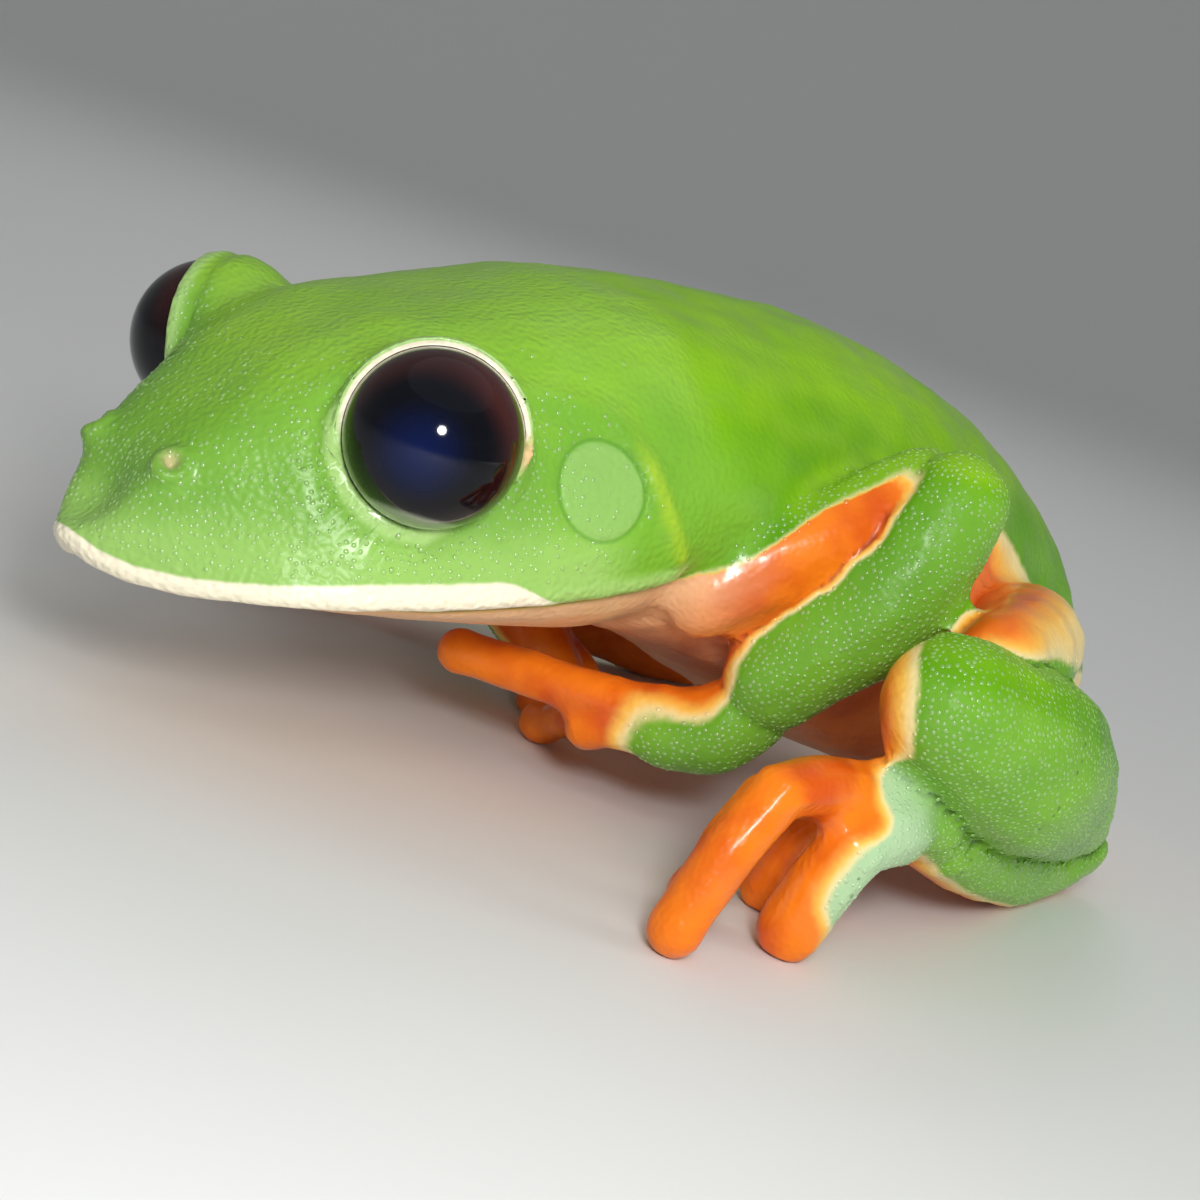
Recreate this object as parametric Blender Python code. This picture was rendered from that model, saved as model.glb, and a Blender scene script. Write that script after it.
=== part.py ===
"""Black-eyed green tree frog, crouched on the floor, life size.

The frog faces -X with its left side towards -Y.  Forms are worked out in
millimetres over a floor at z = 0 and written to the meshes in metres.
The head has a frame of its own: its origin lies midway between the eyes,
and its stations run forward, left and up from there.
"""
import math

import bmesh
import bpy
from mathutils import Matrix, Vector
from mathutils.bvhtree import BVHTree

MM = 0.001
WELD = 0.00001

# Head frame
EYE_HEIGHT = 14.84
EYE_FORWARD = 3.88
HEAD_SHIFT = 1.14
NOSE_DOWN = math.radians(14.0)
HEAD_TILT = math.radians(4.2)

# Eyes and lids
EYE_RADIUS = 3.45
EYE_SPREAD = 8.20
EYE_LOOK = Vector((0.50, 0.86, -0.10))
LID_THICK = 0.36
LID_REACH = 0.20
LID_ROWS = 9
LID_SIDES = 24

# Face details, in the head frame
NOSTRIL = (8.0, 2.5, -1.7)
NOSTRIL_BUMP = 0.90
NOSTRIL_HOLE = 0.30
TYMPANUM = (-7.1, -2.5)
TYMPANUM_RADIUS = 1.8
TYMPANUM_GROOVE = 0.20
MOUTH_DROP = 0.45
JAW_INSET = 0.35

# Joins
GAP = 0.30
NECK = -12.5

# Head sections from nose to neck: forward place, then the crown height,
# (half-width, height) of brow, cheek, lip and jaw, and the chin height
HEAD_SECTIONS = (
    (11.0, -4.3, (0.5, -4.4), (0.8, -4.6), (0.6, -4.8), (0.4, -5.0), -5.1),
    (10.4, -3.9, (1.3, -4.0), (1.7, -4.6), (1.4, -5.5), (0.8, -5.9), -6.0),
    (9.5, -3.0, (2.0, -3.1), (2.7, -4.4), (2.7, -5.9), (1.8, -6.3), -6.4),
    (8.0, -1.4, (2.7, -1.6), (4.0, -4.0), (4.4, -6.1), (3.0, -6.9), -7.2),
    (5.5, 0.5, (3.9, 0.0), (5.6, -3.2), (6.7, -6.1), (4.6, -7.2), -7.7),
    (2.5, 2.3, (4.7, 1.8), (7.2, -2.4), (8.4, -6.2), (5.8, -7.7), -8.4),
    (-1.0, 3.3, (5.2, 2.8), (8.1, -1.8), (9.3, -6.4), (6.5, -8.3), -9.2),
    (-5.0, 3.7, (5.8, 2.8), (9.2, -2.0), (9.9, -6.5), (6.9, -9.0), -10.0),
    (-9.0, 4.0, (6.4, 2.7), (9.9, -2.2), (10.3, -6.4), (7.2, -9.5), -10.8),
    (-12.5, 4.1, (6.6, 2.6), (10.1, -2.2), (10.1, -6.2), (7.2, -9.6), -11.2),
)

# Trunk sections from shoulders to vent: place along the floor, crown height,
# (half-width, height) of back edge, flank, lower flank and belly edge, belly
TRUNK_SECTIONS = (
    (15.0, 22.5, (6.4, 20.6), (10.2, 15.5), (8.9, 10.5), (6.2, 7.6), 6.6),
    (21.0, 22.4, (6.4, 20.3), (9.8, 15.3), (8.6, 9.6), (5.8, 5.8), 4.6),
    (28.0, 21.2, (5.8, 19.1), (8.6, 14.1), (8.1, 8.2), (5.6, 3.6), 2.4),
    (34.0, 19.2, (4.8, 17.3), (7.1, 12.9), (6.9, 7.4), (4.8, 3.2), 2.0),
    (39.4, 16.2, (3.8, 14.7), (5.7, 11.3), (5.5, 7.2), (3.8, 3.8), 2.8),
    (44.2, 12.2, (2.7, 11.3), (4.1, 9.2), (3.9, 6.8), (2.7, 4.6), 4.0),
    (47.4, 9.2, (1.6, 8.7), (2.3, 7.6), (2.2, 6.4), (1.5, 5.3), 5.0),
    (48.6, 7.9, (0.6, 7.7), (0.8, 7.2), (0.8, 6.8), (0.6, 6.5), 6.4),
)
HULL_SIDES = 40
HULL_STEPS = 3

# Limb paths for the left side: points as (x, outward, z) and half-sizes
UPPER_ARM = ((11.4, 8.0, 11.6), (15.2, 10.2, 14.7), (18.8, 11.2, 17.8))
UPPER_ARM_SIZE = ((2.3, 2.5), (2.0, 2.3), (1.9, 2.1))
FOREARM = ((19.0, 13.0, 17.9), (17.4, 12.6, 13.4), (14.9, 10.4, 8.6))
FOREARM_SIZE = ((2.3, 2.4), (2.7, 2.8), (2.2, 2.3))
THIGH = ((36.4, 4.6, 9.4), (31.0, 9.4, 11.2), (25.0, 14.6, 12.7), (18.8, 18.0, 12.9))
THIGH_SIZE = ((3.3, 3.3), (3.0, 3.0), (2.5, 2.5), (1.9, 1.9))
SHANK = ((15.0, 19.6, 11.2), (21.4, 19.5, 9.2), (29.0, 16.0, 6.7), (37.2, 12.0, 3.6))
SHANK_SIZE = ((2.9, 3.1), (2.9, 3.8), (2.6, 3.4), (1.8, 2.0))
TARSUS = ((37.6, 12.0, 2.5), (32.4, 13.5, 1.9), (26.0, 15.8, 3.0), (19.8, 17.4, 4.6))
TARSUS_SIZE = ((1.9, 1.9), (1.8, 2.0), (1.8, 1.9), (1.9, 1.6))

# Foot: sole path, then each toe, innermost first, and its thickness
SOLE = ((19.8, 17.4, 4.7), (16.5, 18.0, 6.0), (13.2, 18.5, 6.7))
SOLE_SIZE = ((1.9, 1.5), (2.4, 1.4), (1.9, 1.4))
TOES = (
    ((17.6, 16.6, 4.8), (17.2, 14.9, 3.2), (17.4, 14.0, 1.0)),
    ((15.6, 17.0, 5.6), (13.8, 15.4, 4.0), (13.8, 14.8, 1.0)),
    ((14.0, 17.6, 6.2), (9.8, 16.4, 5.6), (8.6, 15.8, 1.0)),
    ((13.4, 18.4, 6.7), (7.4, 19.2, 7.0), (4.8, 18.9, 1.1)),
    ((14.8, 19.0, 5.9), (11.6, 20.0, 5.2), (11.0, 19.0, 1.1)),
)
TOE_GIRTHS = (0.85, 0.85, 0.9, 1.05, 1.3)
TOE_ROOT = 1.45
TOE_WAIST = 1.15
TOE_DISC = 1.3
DISC_THICK = 1.05
SPLAY_TURN = math.radians(-38.0)
SPLAY_REACH = 0.95
SPLAY_LIFTS = (1.3, 0.7, 0.0, 0.0, 0.0)

# Hands: palm path, then each finger, innermost first, and its thickness
LEFT_PALM = ((15.1, 10.2, 8.0), (14.4, 8.9, 5.6), (12.8, 7.4, 4.8))
RIGHT_PALM = ((15.4, 10.4, 8.0), (16.6, 9.2, 5.4), (17.6, 7.8, 3.8))
PALM_SIZE = ((1.8, 1.9), (2.2, 2.0), (1.8, 1.8))
LEFT_FINGERS = (
    ((12.6, 7.6, 4.6), (11.2, 6.2, 4.0), (11.0, 4.8, 3.6)),
    ((12.6, 7.2, 5.2), (10.6, 4.6, 5.0), (9.0, 1.8, 4.8), (7.4, -0.6, 4.6)),
    ((13.4, 6.8, 4.2), (13.8, 2.4, 3.4), (15.0, -2.2, 1.0)),
    ((14.6, 7.6, 4.6), (15.8, 6.4, 4.0), (16.2, 5.0, 3.6)),
)
RIGHT_FINGERS = (
    ((16.8, 8.0, 4.2), (17.0, 6.6, 3.0), (17.4, 5.6, 1.0)),
    ((17.6, 7.6, 3.8), (17.8, 5.4, 2.8), (18.6, 3.6, 1.0)),
    ((18.4, 7.8, 3.6), (19.8, 6.2, 2.6), (21.0, 5.0, 1.0)),
    ((18.4, 8.4, 3.6), (20.4, 8.2, 2.4), (21.8, 7.8, 1.0)),
)
FINGER_GIRTHS = (0.9, 1.15, 1.0, 0.9)
FINGER_ROOT = 1.3
FINGER_WAIST = 0.95
FINGER_DISC = 1.15

LIMB_SIDES = 12
LIMB_STEPS = 3
LIMB_CAPS = 3
DIGIT_SIDES = 8
DIGIT_STEPS = 2
DIGIT_CAPS = 2


def clear_scene():
    """Remove every object that the scene starts with."""
    for obj in list(bpy.data.objects):
        bpy.data.objects.remove(obj, do_unlink=True)


def make_material(name, colour, roughness, coat=0.0):
    """Return a Principled material of one colour."""
    material = bpy.data.materials.new(name)
    material.use_nodes = True
    shader = material.node_tree.nodes["Principled BSDF"]
    shader.inputs["Base Color"].default_value = (*colour, 1.0)
    shader.inputs["Roughness"].default_value = roughness
    shader.inputs["Metallic"].default_value = 0.0
    shader.inputs["Coat Weight"].default_value = coat
    return material


def head_matrix():
    """Return the head frame: forward, left and up to the floor's axes."""
    turn_round = Matrix(((-1, 0, 0, 0), (0, -1, 0, 0), (0, 0, 1, 0), (0, 0, 0, 1)))
    pitch = Matrix.Rotation(-NOSE_DOWN, 4, "Y")
    tilt = Matrix.Rotation(-HEAD_TILT, 4, "X")
    place = Matrix.Translation((-EYE_FORWARD, HEAD_SHIFT, EYE_HEIGHT))
    return place @ pitch @ tilt @ turn_round


HEAD = head_matrix()


def curve_point(a, b, c, d, t):
    """Return the point at t between b and c on a smooth curve."""
    return 0.5 * (2 * b + (c - a) * t + (2 * a - 5 * b + 4 * c - d) * t ** 2
                  + (3 * b - a - 3 * c + d) * t ** 3)


def smooth_path(points, steps):
    """Return an open curve through the points, with steps to a span."""
    points = [Vector(p) for p in points]
    ends = [2 * points[0] - points[1], *points, 2 * points[-1] - points[-2]]
    path = []
    for i in range(len(points) - 1):
        for k in range(steps):
            path.append(curve_point(*ends[i:i + 4], k / steps))
    path.append(points[-1])
    return path


def smooth_loop(points, steps):
    """Return a closed curve through the points, with steps to a span."""
    count = len(points)
    loop = []
    for i in range(count):
        quad = [points[(i + j - 1) % count] for j in range(4)]
        for k in range(steps):
            loop.append(curve_point(*quad, k / steps))
    return loop


def solid(name, rings, start, end):
    """Return a closed object from rings of points between two poles."""
    mesh = bmesh.new()
    first = mesh.verts.new(start * MM)
    last = mesh.verts.new(end * MM)
    loops = [[mesh.verts.new(p * MM) for p in ring] for ring in rings]
    for k, vert in enumerate(loops[0]):
        mesh.faces.new((first, vert, loops[0][k - 1]))
        mesh.faces.new((last, loops[-1][k - 1], loops[-1][k]))
    for low, high in zip(loops, loops[1:]):
        for k in range(len(low)):
            mesh.faces.new((low[k - 1], low[k], high[k], high[k - 1]))
    bmesh.ops.recalc_face_normals(mesh, faces=mesh.faces)
    for face in mesh.faces:
        face.smooth = True
    return object_from(mesh, name)


def object_from(mesh, name):
    """Return an object that holds the edit mesh."""
    data = bpy.data.meshes.new(name)
    mesh.to_mesh(data)
    mesh.free()
    obj = bpy.data.objects.new(name, data)
    bpy.context.scene.collection.objects.link(obj)
    return obj


def section_ring(crown, pairs, foot):
    """Return the control points of one body section, (left, up) pairs."""
    left = [(w, h) for w, h in pairs]
    right = [(-w, h) for w, h in reversed(pairs)]
    return [(0.0, crown), *left, (0.0, foot), *right]


def body_hull():
    """Return head and trunk as one smooth closed body."""
    stations = []
    for forward, crown, *pairs, foot in HEAD_SECTIONS:
        ring = section_ring(crown, pairs, foot)
        stations.append([HEAD @ Vector((forward, left, up)) for left, up in ring])
    for x, crown, *pairs, foot in TRUNK_SECTIONS:
        ring = section_ring(crown, pairs, foot)
        ease = max(0.0, 1.0 - (x - 12.0) / 12.0)
        stations.append([Vector((x, -left + 0.5 * ease, up)) for left, up in ring])
    lines = [smooth_path(line, HULL_STEPS) for line in zip(*stations)]
    around = HULL_SIDES // len(lines)
    rings = [smooth_loop(ring, around) for ring in zip(*lines)]
    nose = sum(rings[0], Vector()) / len(rings[0]) + HEAD.to_3x3() @ Vector((0.18, 0, 0))
    tail = sum(rings[-1], Vector()) / len(rings[-1]) + Vector((0.15, 0, 0))
    return solid("hull", rings, nose, tail)


def tube(name, path, sizes, side, sides=LIMB_SIDES, steps=LIMB_STEPS, caps=LIMB_CAPS):
    """Return a limb: a smooth tapering tube with round ends."""
    points = smooth_path([Vector((x, side * y, z)) for x, y, z in path], steps)
    spans = smooth_path([Vector((*size, 0.0)) for size in sizes], steps)
    up = Vector((0.0, 0.0, 1.0))
    frames = []
    for i, point in enumerate(points):
        ahead = (points[min(i + 1, len(points) - 1)] - points[max(i - 1, 0)]).normalized()
        across = ahead.cross(up)
        if frames and across.length < 0.35:
            across = frames[-1][1].copy()
        elif across.length < 0.35:
            across = Vector((0.0, side, 0.0))
        across = (across - across.dot(ahead) * ahead).normalized()
        if frames and across.dot(frames[-1][1]) < 0:
            across.negate()
        frames.append((point, across, across.cross(ahead).normalized(), ahead, spans[i]))

    def ring(frame, scale, shift):
        """Return one ring of the tube at a frame."""
        point, across, lift, ahead, span = frame
        turn = 2 * math.pi / sides
        return [point + shift * ahead + scale * (span.x * math.cos(k * turn) * across
                + span.y * math.sin(k * turn) * lift) for k in range(sides)]

    rings = []
    for k in range(caps):
        angle = 0.5 * math.pi * (k + 0.7) / (caps + 0.7)
        reach = min(frames[0][4].x, frames[0][4].y)
        rings.append(ring(frames[0], math.sin(angle), -reach * math.cos(angle)))
    rings += [ring(frame, 1.0, 0.0) for frame in frames]
    for k in reversed(range(caps)):
        angle = 0.5 * math.pi * (k + 0.7) / (caps + 0.7)
        reach = min(frames[-1][4].x, frames[-1][4].y)
        rings.append(ring(frames[-1], math.sin(angle), reach * math.cos(angle)))
    start = frames[0][0] - min(frames[0][4].x, frames[0][4].y) * frames[0][3]
    end = frames[-1][0] + min(frames[-1][4].x, frames[-1][4].y) * frames[-1][3]
    return solid(name, rings, start, end)


def ball(name, centre, radii, facing=None, around=16, rows=10):
    """Return a stretched ball; its third axis points along facing."""
    turn = Vector((0, 0, 1)).rotation_difference(facing).to_matrix() if facing else Matrix.Identity(3)
    rings = []
    for row in range(1, rows):
        polar = math.pi * row / rows
        ring = []
        for k in range(around):
            angle = 2 * math.pi * k / around
            local = Vector((radii[0] * math.sin(polar) * math.cos(angle),
                            radii[1] * math.sin(polar) * math.sin(angle),
                            radii[2] * math.cos(polar)))
            ring.append(centre + turn @ local)
        rings.append(ring)
    pole = turn @ Vector((0, 0, radii[2]))
    return solid(name, rings, centre + pole, centre - pole)


def block(name, low, high, frame=None):
    """Return a box between two corners, placed by a frame."""
    mesh = bmesh.new()
    bmesh.ops.create_cube(mesh, size=1.0)
    low, high = Vector(low), Vector(high)
    for vert in mesh.verts:
        corner = Vector([low[i] + (vert.co[i] + 0.5) * (high[i] - low[i]) for i in range(3)])
        vert.co = (frame @ corner if frame else corner) * MM
    bmesh.ops.recalc_face_normals(mesh, faces=mesh.faces)
    return object_from(mesh, name)


def grown(obj, amount=GAP):
    """Return a copy of an object with its surface moved outwards."""
    mesh = bmesh.new()
    mesh.from_mesh(obj.data)
    mesh.normal_update()
    moves = [vert.normal * amount * MM for vert in mesh.verts]
    for vert, move in zip(mesh.verts, moves):
        vert.co += move
    return object_from(mesh, obj.name + "_grown")


def combine(obj, others, operation, keep=False):
    """Join or cut an object with others and keep its largest surface."""
    pieces = bpy.data.collections.new("pieces")
    for other in others:
        pieces.objects.link(other)
    modifier = obj.modifiers.new("combine", "BOOLEAN")
    modifier.operation = operation
    modifier.solver = "EXACT"
    modifier.operand_type = "COLLECTION"
    modifier.collection = pieces
    bpy.context.view_layer.update()
    graph = bpy.context.evaluated_depsgraph_get()
    data = bpy.data.meshes.new_from_object(obj.evaluated_get(graph))
    obj.modifiers.clear()
    obj.data = data
    bpy.data.collections.remove(pieces)
    if not keep:
        for other in others:
            bpy.data.objects.remove(other, do_unlink=True)
    return obj


def islands(obj):
    """Return the closed surfaces of an object as lists of faces."""
    mesh = bmesh.new()
    mesh.from_mesh(obj.data)
    bmesh.ops.remove_doubles(mesh, verts=mesh.verts, dist=WELD)
    bmesh.ops.dissolve_degenerate(mesh, edges=mesh.edges, dist=WELD)
    seen, groups = set(), []
    for face in mesh.faces:
        if face in seen:
            continue
        group, stack = [], [face]
        seen.add(face)
        while stack:
            current = stack.pop()
            group.append(current)
            for edge in current.edges:
                for other in edge.link_faces:
                    if other not in seen:
                        seen.add(other)
                        stack.append(other)
        groups.append(group)
    return mesh, groups


def split_faces(mesh):
    """Split all faces into triangles so that no two share a new edge."""
    for face in [face for face in mesh.faces if len(face.verts) > 3]:
        corners, own = list(face.verts), set(face.edges)
        pairs = [(a, b) for k, a in enumerate(corners) for b in corners[k + 1:]]
        found = [mesh.edges.get(pair) for pair in pairs]
        if any(edge and edge not in own for edge in found):
            bmesh.ops.poke(mesh, faces=[face])
        else:
            bmesh.ops.triangulate(mesh, faces=[face], ngon_method="BEAUTY")


def keep_part(obj, name, test=None):
    """Return a new object with one closed surface, the largest by default."""
    mesh, groups = islands(obj)
    test = test or (lambda centre: True)

    def centre(group):
        """Return the middle of a surface in millimetres."""
        verts = {vert for face in group for vert in face.verts}
        return sum((vert.co for vert in verts), Vector()) / len(verts) / MM

    fitting = [group for group in groups if test(centre(group))]
    best = max(fitting, key=lambda group: sum(face.calc_area() for face in group))
    keep = set(best)
    bmesh.ops.delete(mesh, geom=[face for face in mesh.faces if face not in keep], context="FACES")
    loose = [vert for vert in mesh.verts if not vert.link_faces]
    bmesh.ops.delete(mesh, geom=loose, context="VERTS")
    split_faces(mesh)
    bmesh.ops.recalc_face_normals(mesh, faces=mesh.faces)
    for face in mesh.faces:
        face.smooth = True
    return object_from(mesh, name)


def cleaned(obj, name=None, test=None):
    """Replace an object by its largest closed surface."""
    name = name or obj.name
    obj.name = "spare"
    part = keep_part(obj, name, test)
    bpy.data.objects.remove(obj, do_unlink=True)
    return part


def eye_centre(side):
    """Return the middle of an eye; side is 1 for the left."""
    return HEAD @ Vector((0.0, side * EYE_SPREAD, 0.0))


def eye_axis(side):
    """Return the way an eye looks."""
    look = Vector((EYE_LOOK.x, side * EYE_LOOK.y, EYE_LOOK.z)).normalized()
    return HEAD.to_3x3() @ look


def lid(side):
    """Return the lid that wraps the inner part of an eye, flat at its front."""
    radius = EYE_RADIUS + GAP + LID_THICK
    centre, axis = eye_centre(side), eye_axis(side)
    turn = Vector((0, 0, 1)).rotation_difference(axis).to_matrix()
    front = math.acos(LID_REACH / radius)
    rings = []
    for row in range(LID_ROWS):
        polar = front + (math.pi - front) * row / LID_ROWS
        ring = []
        for k in range(LID_SIDES):
            angle = 2 * math.pi * k / LID_SIDES
            local = Vector((math.sin(polar) * math.cos(angle), math.sin(polar) * math.sin(angle),
                            math.cos(polar)))
            ring.append(centre + turn @ (local * radius))
        rings.append(ring)
    return solid("lid", rings, centre + LID_REACH * axis, centre - radius * axis)


def lip_height(forward):
    """Return the height of the lip's edge at a place along the head."""
    rows = sorted((row[0], row[4][1]) for row in HEAD_SECTIONS[1:])
    if forward <= rows[0][0]:
        return rows[0][1]
    for (f0, h0), (f1, h1) in zip(rows, rows[1:]):
        if forward <= f1:
            return h0 + (h1 - h0) * (forward - f0) / (f1 - f0)
    return rows[-1][1]


def mouth_slot():
    """Return the thin curved sheet that parts upper lip and lower jaw."""
    places = [13.0 - 27.0 * k / 18 for k in range(19)]
    upper = [(f, lip_height(f) - MOUTH_DROP) for f in places]
    lower = [(f, h - GAP) for f, h in reversed(upper)]
    outline = upper + lower
    mesh = bmesh.new()
    near = [mesh.verts.new(HEAD @ Vector((f, 15.0, h)) * MM) for f, h in outline]
    far = [mesh.verts.new(HEAD @ Vector((f, -15.0, h)) * MM) for f, h in outline]
    count = len(places)
    for k in range(len(outline)):
        mesh.faces.new((near[k - 1], near[k], far[k], far[k - 1]))
    for row in (near, far):
        for k in range(count - 1):
            mesh.faces.new((row[k], row[k + 1], row[-k - 2], row[-k - 1]))
    bmesh.ops.recalc_face_normals(mesh, faces=mesh.faces)
    return object_from(mesh, "mouth")


def surface_hit(obj, start, way):
    """Return where a line from start first meets an object, and its normal."""
    mesh = bmesh.new()
    mesh.from_mesh(obj.data)
    tree = BVHTree.FromBMesh(mesh)
    mesh.free()
    point, normal, _, _ = tree.ray_cast(start * MM, way)
    return point / MM, normal


def ring_groove(centre, axis, radius, groove):
    """Return a thin ring used to cut a round groove."""
    turn = Vector((0, 0, 1)).rotation_difference(axis).to_matrix()
    mesh = bmesh.new()
    around, sides = 28, 6
    grid = []
    for i in range(around):
        angle = 2 * math.pi * i / around
        row = []
        for j in range(sides):
            bend = 2 * math.pi * j / sides
            reach = radius + groove * math.cos(bend)
            local = Vector((reach * math.cos(angle), reach * math.sin(angle), groove * math.sin(bend)))
            row.append(mesh.verts.new((centre + turn @ local) * MM))
        grid.append(row)
    for i in range(around):
        for j in range(sides):
            mesh.faces.new((grid[i - 1][j - 1], grid[i][j - 1], grid[i][j], grid[i - 1][j]))
    bmesh.ops.recalc_face_normals(mesh, faces=mesh.faces)
    return object_from(mesh, "groove")


def face_details(head):
    """Add lids and nostrils to the head, and cut sockets and ear rings."""
    joins, cuts = [], []
    for side in (1, -1):
        joins.append(lid(side))
        nostril = HEAD @ Vector((NOSTRIL[0], side * NOSTRIL[1], NOSTRIL[2] - 0.45))
        joins.append(ball("bump", nostril, (NOSTRIL_BUMP,) * 3, None, 12, 8))
        way = HEAD.to_3x3() @ Vector((0.25, side * 0.85, 0.45)).normalized()
        hole = nostril + way * NOSTRIL_BUMP
        cuts.append(ball("hole", hole, (NOSTRIL_HOLE, NOSTRIL_HOLE, 0.5), way, 8, 6))
        cuts.append(ball("socket", eye_centre(side), (EYE_RADIUS + GAP,) * 3, eye_axis(side), 24, 16))
        start = HEAD @ Vector((TYMPANUM[0], side * 20.0, TYMPANUM[1]))
        spot, normal = surface_hit(head, start, HEAD.to_3x3() @ Vector((0, -side, 0)))
        cuts.append(ring_groove(spot + normal * 0.05, normal, TYMPANUM_RADIUS, TYMPANUM_GROOVE))
    combine(head, joins, "UNION")
    combine(head, cuts, "DIFFERENCE")
    return cleaned(head, "head")


def neck_cut():
    """Return the thin upright sheet that parts the head from the torso."""
    return block("neck", (NECK - GAP / 2, -20, -30), (NECK + GAP / 2, 20, 30), HEAD)


def split_body(hull):
    """Part the hull into head, lower jaw and torso by thin cuts."""
    whole = combine(grown(hull, 0.0), [neck_cut()], "DIFFERENCE")
    torso = keep_part(whole, "torso", lambda centre: centre.x > 12)
    bpy.data.objects.remove(whole, do_unlink=True)
    up = HEAD.to_3x3() @ Vector((0, 0, 1))
    level = (HEAD @ Vector((0, 0, -6.6))).dot(up)
    parts = []
    for name, inset, above in (("head", 0.0, 1), ("lower_jaw", JAW_INSET, -1)):
        front = combine(grown(hull, -inset), [neck_cut(), mouth_slot()], "DIFFERENCE")
        parts.append(keep_part(front, name, lambda centre: centre.x < 9
                               and (centre.dot(up) - level) * above > 0))
        bpy.data.objects.remove(front, do_unlink=True)
    return (*parts, torso)


def floor_cut():
    """Return a block below the floor, for the small resting flats."""
    return block("below", (-60, -60, -20), (90, 60, 0))


def digit(name, path, side, root, waist, disc):
    """Return a finger or toe with its round disc."""
    middle = [(waist, waist)] * (len(path) - 2)
    shaft = tube(name, path, [(root, root), *middle, (waist, waist * 0.9)], side,
                 DIGIT_SIDES, DIGIT_STEPS, DIGIT_CAPS)
    tip = Vector((path[-1][0], side * path[-1][1], path[-1][2]))
    before = Vector((path[-2][0], side * path[-2][1], path[-2][2]))
    way = (tip - before).normalized()
    facing = Vector((0, 0, 1)) - way.z * way
    facing = facing.normalized() if facing.length > 0.3 else Vector((-1, 0, 0))
    pad = ball(name + "_disc", tip, (disc, disc, DISC_THICK), facing, 10, 6)
    return [shaft, pad]


def paw(name, palm, palm_size, digits, girths, side, sizes, cutters):
    """Return a hand or foot: palm and digits joined in one closed body."""
    body = tube(name, palm, palm_size, side)
    pieces = []
    for k, (path, girth) in enumerate(zip(digits, girths)):
        root, waist, disc = sizes
        pieces += digit(f"{name}_{k}", path, side, root * girth, waist * girth, disc)
    combine(body, pieces, "UNION")
    combine(body, [*cutters, floor_cut()], "DIFFERENCE")
    return cleaned(body, name)


def limb(name, path, sizes, side, cutters):
    """Return a limb segment, cut back from what it grows from."""
    body = tube(name, path, sizes, side)
    combine(body, [*cutters, floor_cut()], "DIFFERENCE")
    return cleaned(body, name)


def splayed(path, lift=0.0):
    """Return a path of the right foot, turned out, its tip lifted a little."""
    root = Vector(SOLE[0])
    points = []
    for k, point in enumerate(path):
        offset = (Vector(point) - root) * SPLAY_REACH
        turned = Matrix.Rotation(SPLAY_TURN, 3, "Z") @ offset
        rise = lift * k / (len(path) - 1)
        points.append((root.x + turned.x, root.y + turned.y, point[2] + rise))
    return points


def build_side(hull, word, side, palm, fingers):
    """Return one side's arm and leg; side is -1 for the left."""
    parts = {}
    plain = {
        "upper_arm": (UPPER_ARM, UPPER_ARM_SIZE), "forearm": (FOREARM, FOREARM_SIZE),
        "thigh": (THIGH, THIGH_SIZE), "shank": (SHANK, SHANK_SIZE), "tarsus": (TARSUS, TARSUS_SIZE),
    }

    def swollen(part):
        """Return the grown form of an uncut segment."""
        source = tube("guide", *plain[part], side)
        result = grown(source)
        bpy.data.objects.remove(source, do_unlink=True)
        return result

    chain = (("upper_arm", None), ("forearm", "upper_arm"), ("thigh", None),
             ("shank", "thigh"), ("tarsus", "shank"))
    for part, parent in chain:
        cutters = [grown(hull)]
        if parent:
            cutters.append(swollen(parent))
        parts[part] = limb(f"{part}_{word}", *plain[part], side, cutters)
    hand_sizes = (FINGER_ROOT, FINGER_WAIST, FINGER_DISC)
    foot_sizes = (TOE_ROOT, TOE_WAIST, TOE_DISC)
    parts["hand"] = paw(f"hand_{word}", palm, PALM_SIZE, fingers, FINGER_GIRTHS, side, hand_sizes,
                        [grown(hull), swollen("forearm")])
    sole, toes = SOLE, TOES
    if side > 0:
        sole = splayed(SOLE)
        toes = [splayed(path, lift) for path, lift in zip(TOES, SPLAY_LIFTS)]
    parts["foot"] = paw(f"foot_{word}", sole, SOLE_SIZE, toes, TOE_GIRTHS, side, foot_sizes,
                        [swollen("tarsus"), swollen("shank")])
    return parts


def centre_on_origin(parts):
    """Move all nodes so that the middle of their box stands on the origin."""
    corners = [vert.co for part in parts for vert in part.data.vertices]
    low = Vector([min(c[i] for c in corners) for i in range(3)])
    high = Vector([max(c[i] for c in corners) for i in range(3)])
    shift = Matrix.Translation((-(low.x + high.x) / 2, -(low.y + high.y) / 2, -low.z))
    for part in parts:
        part.data.transform(shift)


def build():
    """Build every node of the frog."""
    clear_scene()
    green = make_material("green_skin", (0.14, 0.40, 0.04), 0.42, 0.2)
    flank = make_material("orange_skin", (0.85, 0.21, 0.02), 0.40, 0.2)
    black = make_material("eye_surface", (0.006, 0.009, 0.03), 0.05, 1.0)
    hull = body_hull()
    head, jaw, torso = split_body(hull)
    head = face_details(head)
    parts = [head, jaw, torso]
    for side, word in ((1, "left"), (-1, "right")):
        parts.append(ball(f"eye_{word}", eye_centre(side), (EYE_RADIUS,) * 3, eye_axis(side), 20, 12))
    parts += build_side(hull, "left", -1, LEFT_PALM, LEFT_FINGERS).values()
    parts += build_side(hull, "right", 1, RIGHT_PALM, RIGHT_FINGERS).values()
    bpy.data.objects.remove(hull, do_unlink=True)
    for part in parts:
        looks = green
        if part.name.startswith("eye"):
            looks = black
        elif part.name.startswith(("foot", "hand", "upper_arm")):
            looks = flank
        part.data.materials.clear()
        material = looks.copy()
        material.name = f"{part.name}_finish"
        part.data.materials.append(material)
    centre_on_origin(parts)


build()
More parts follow.
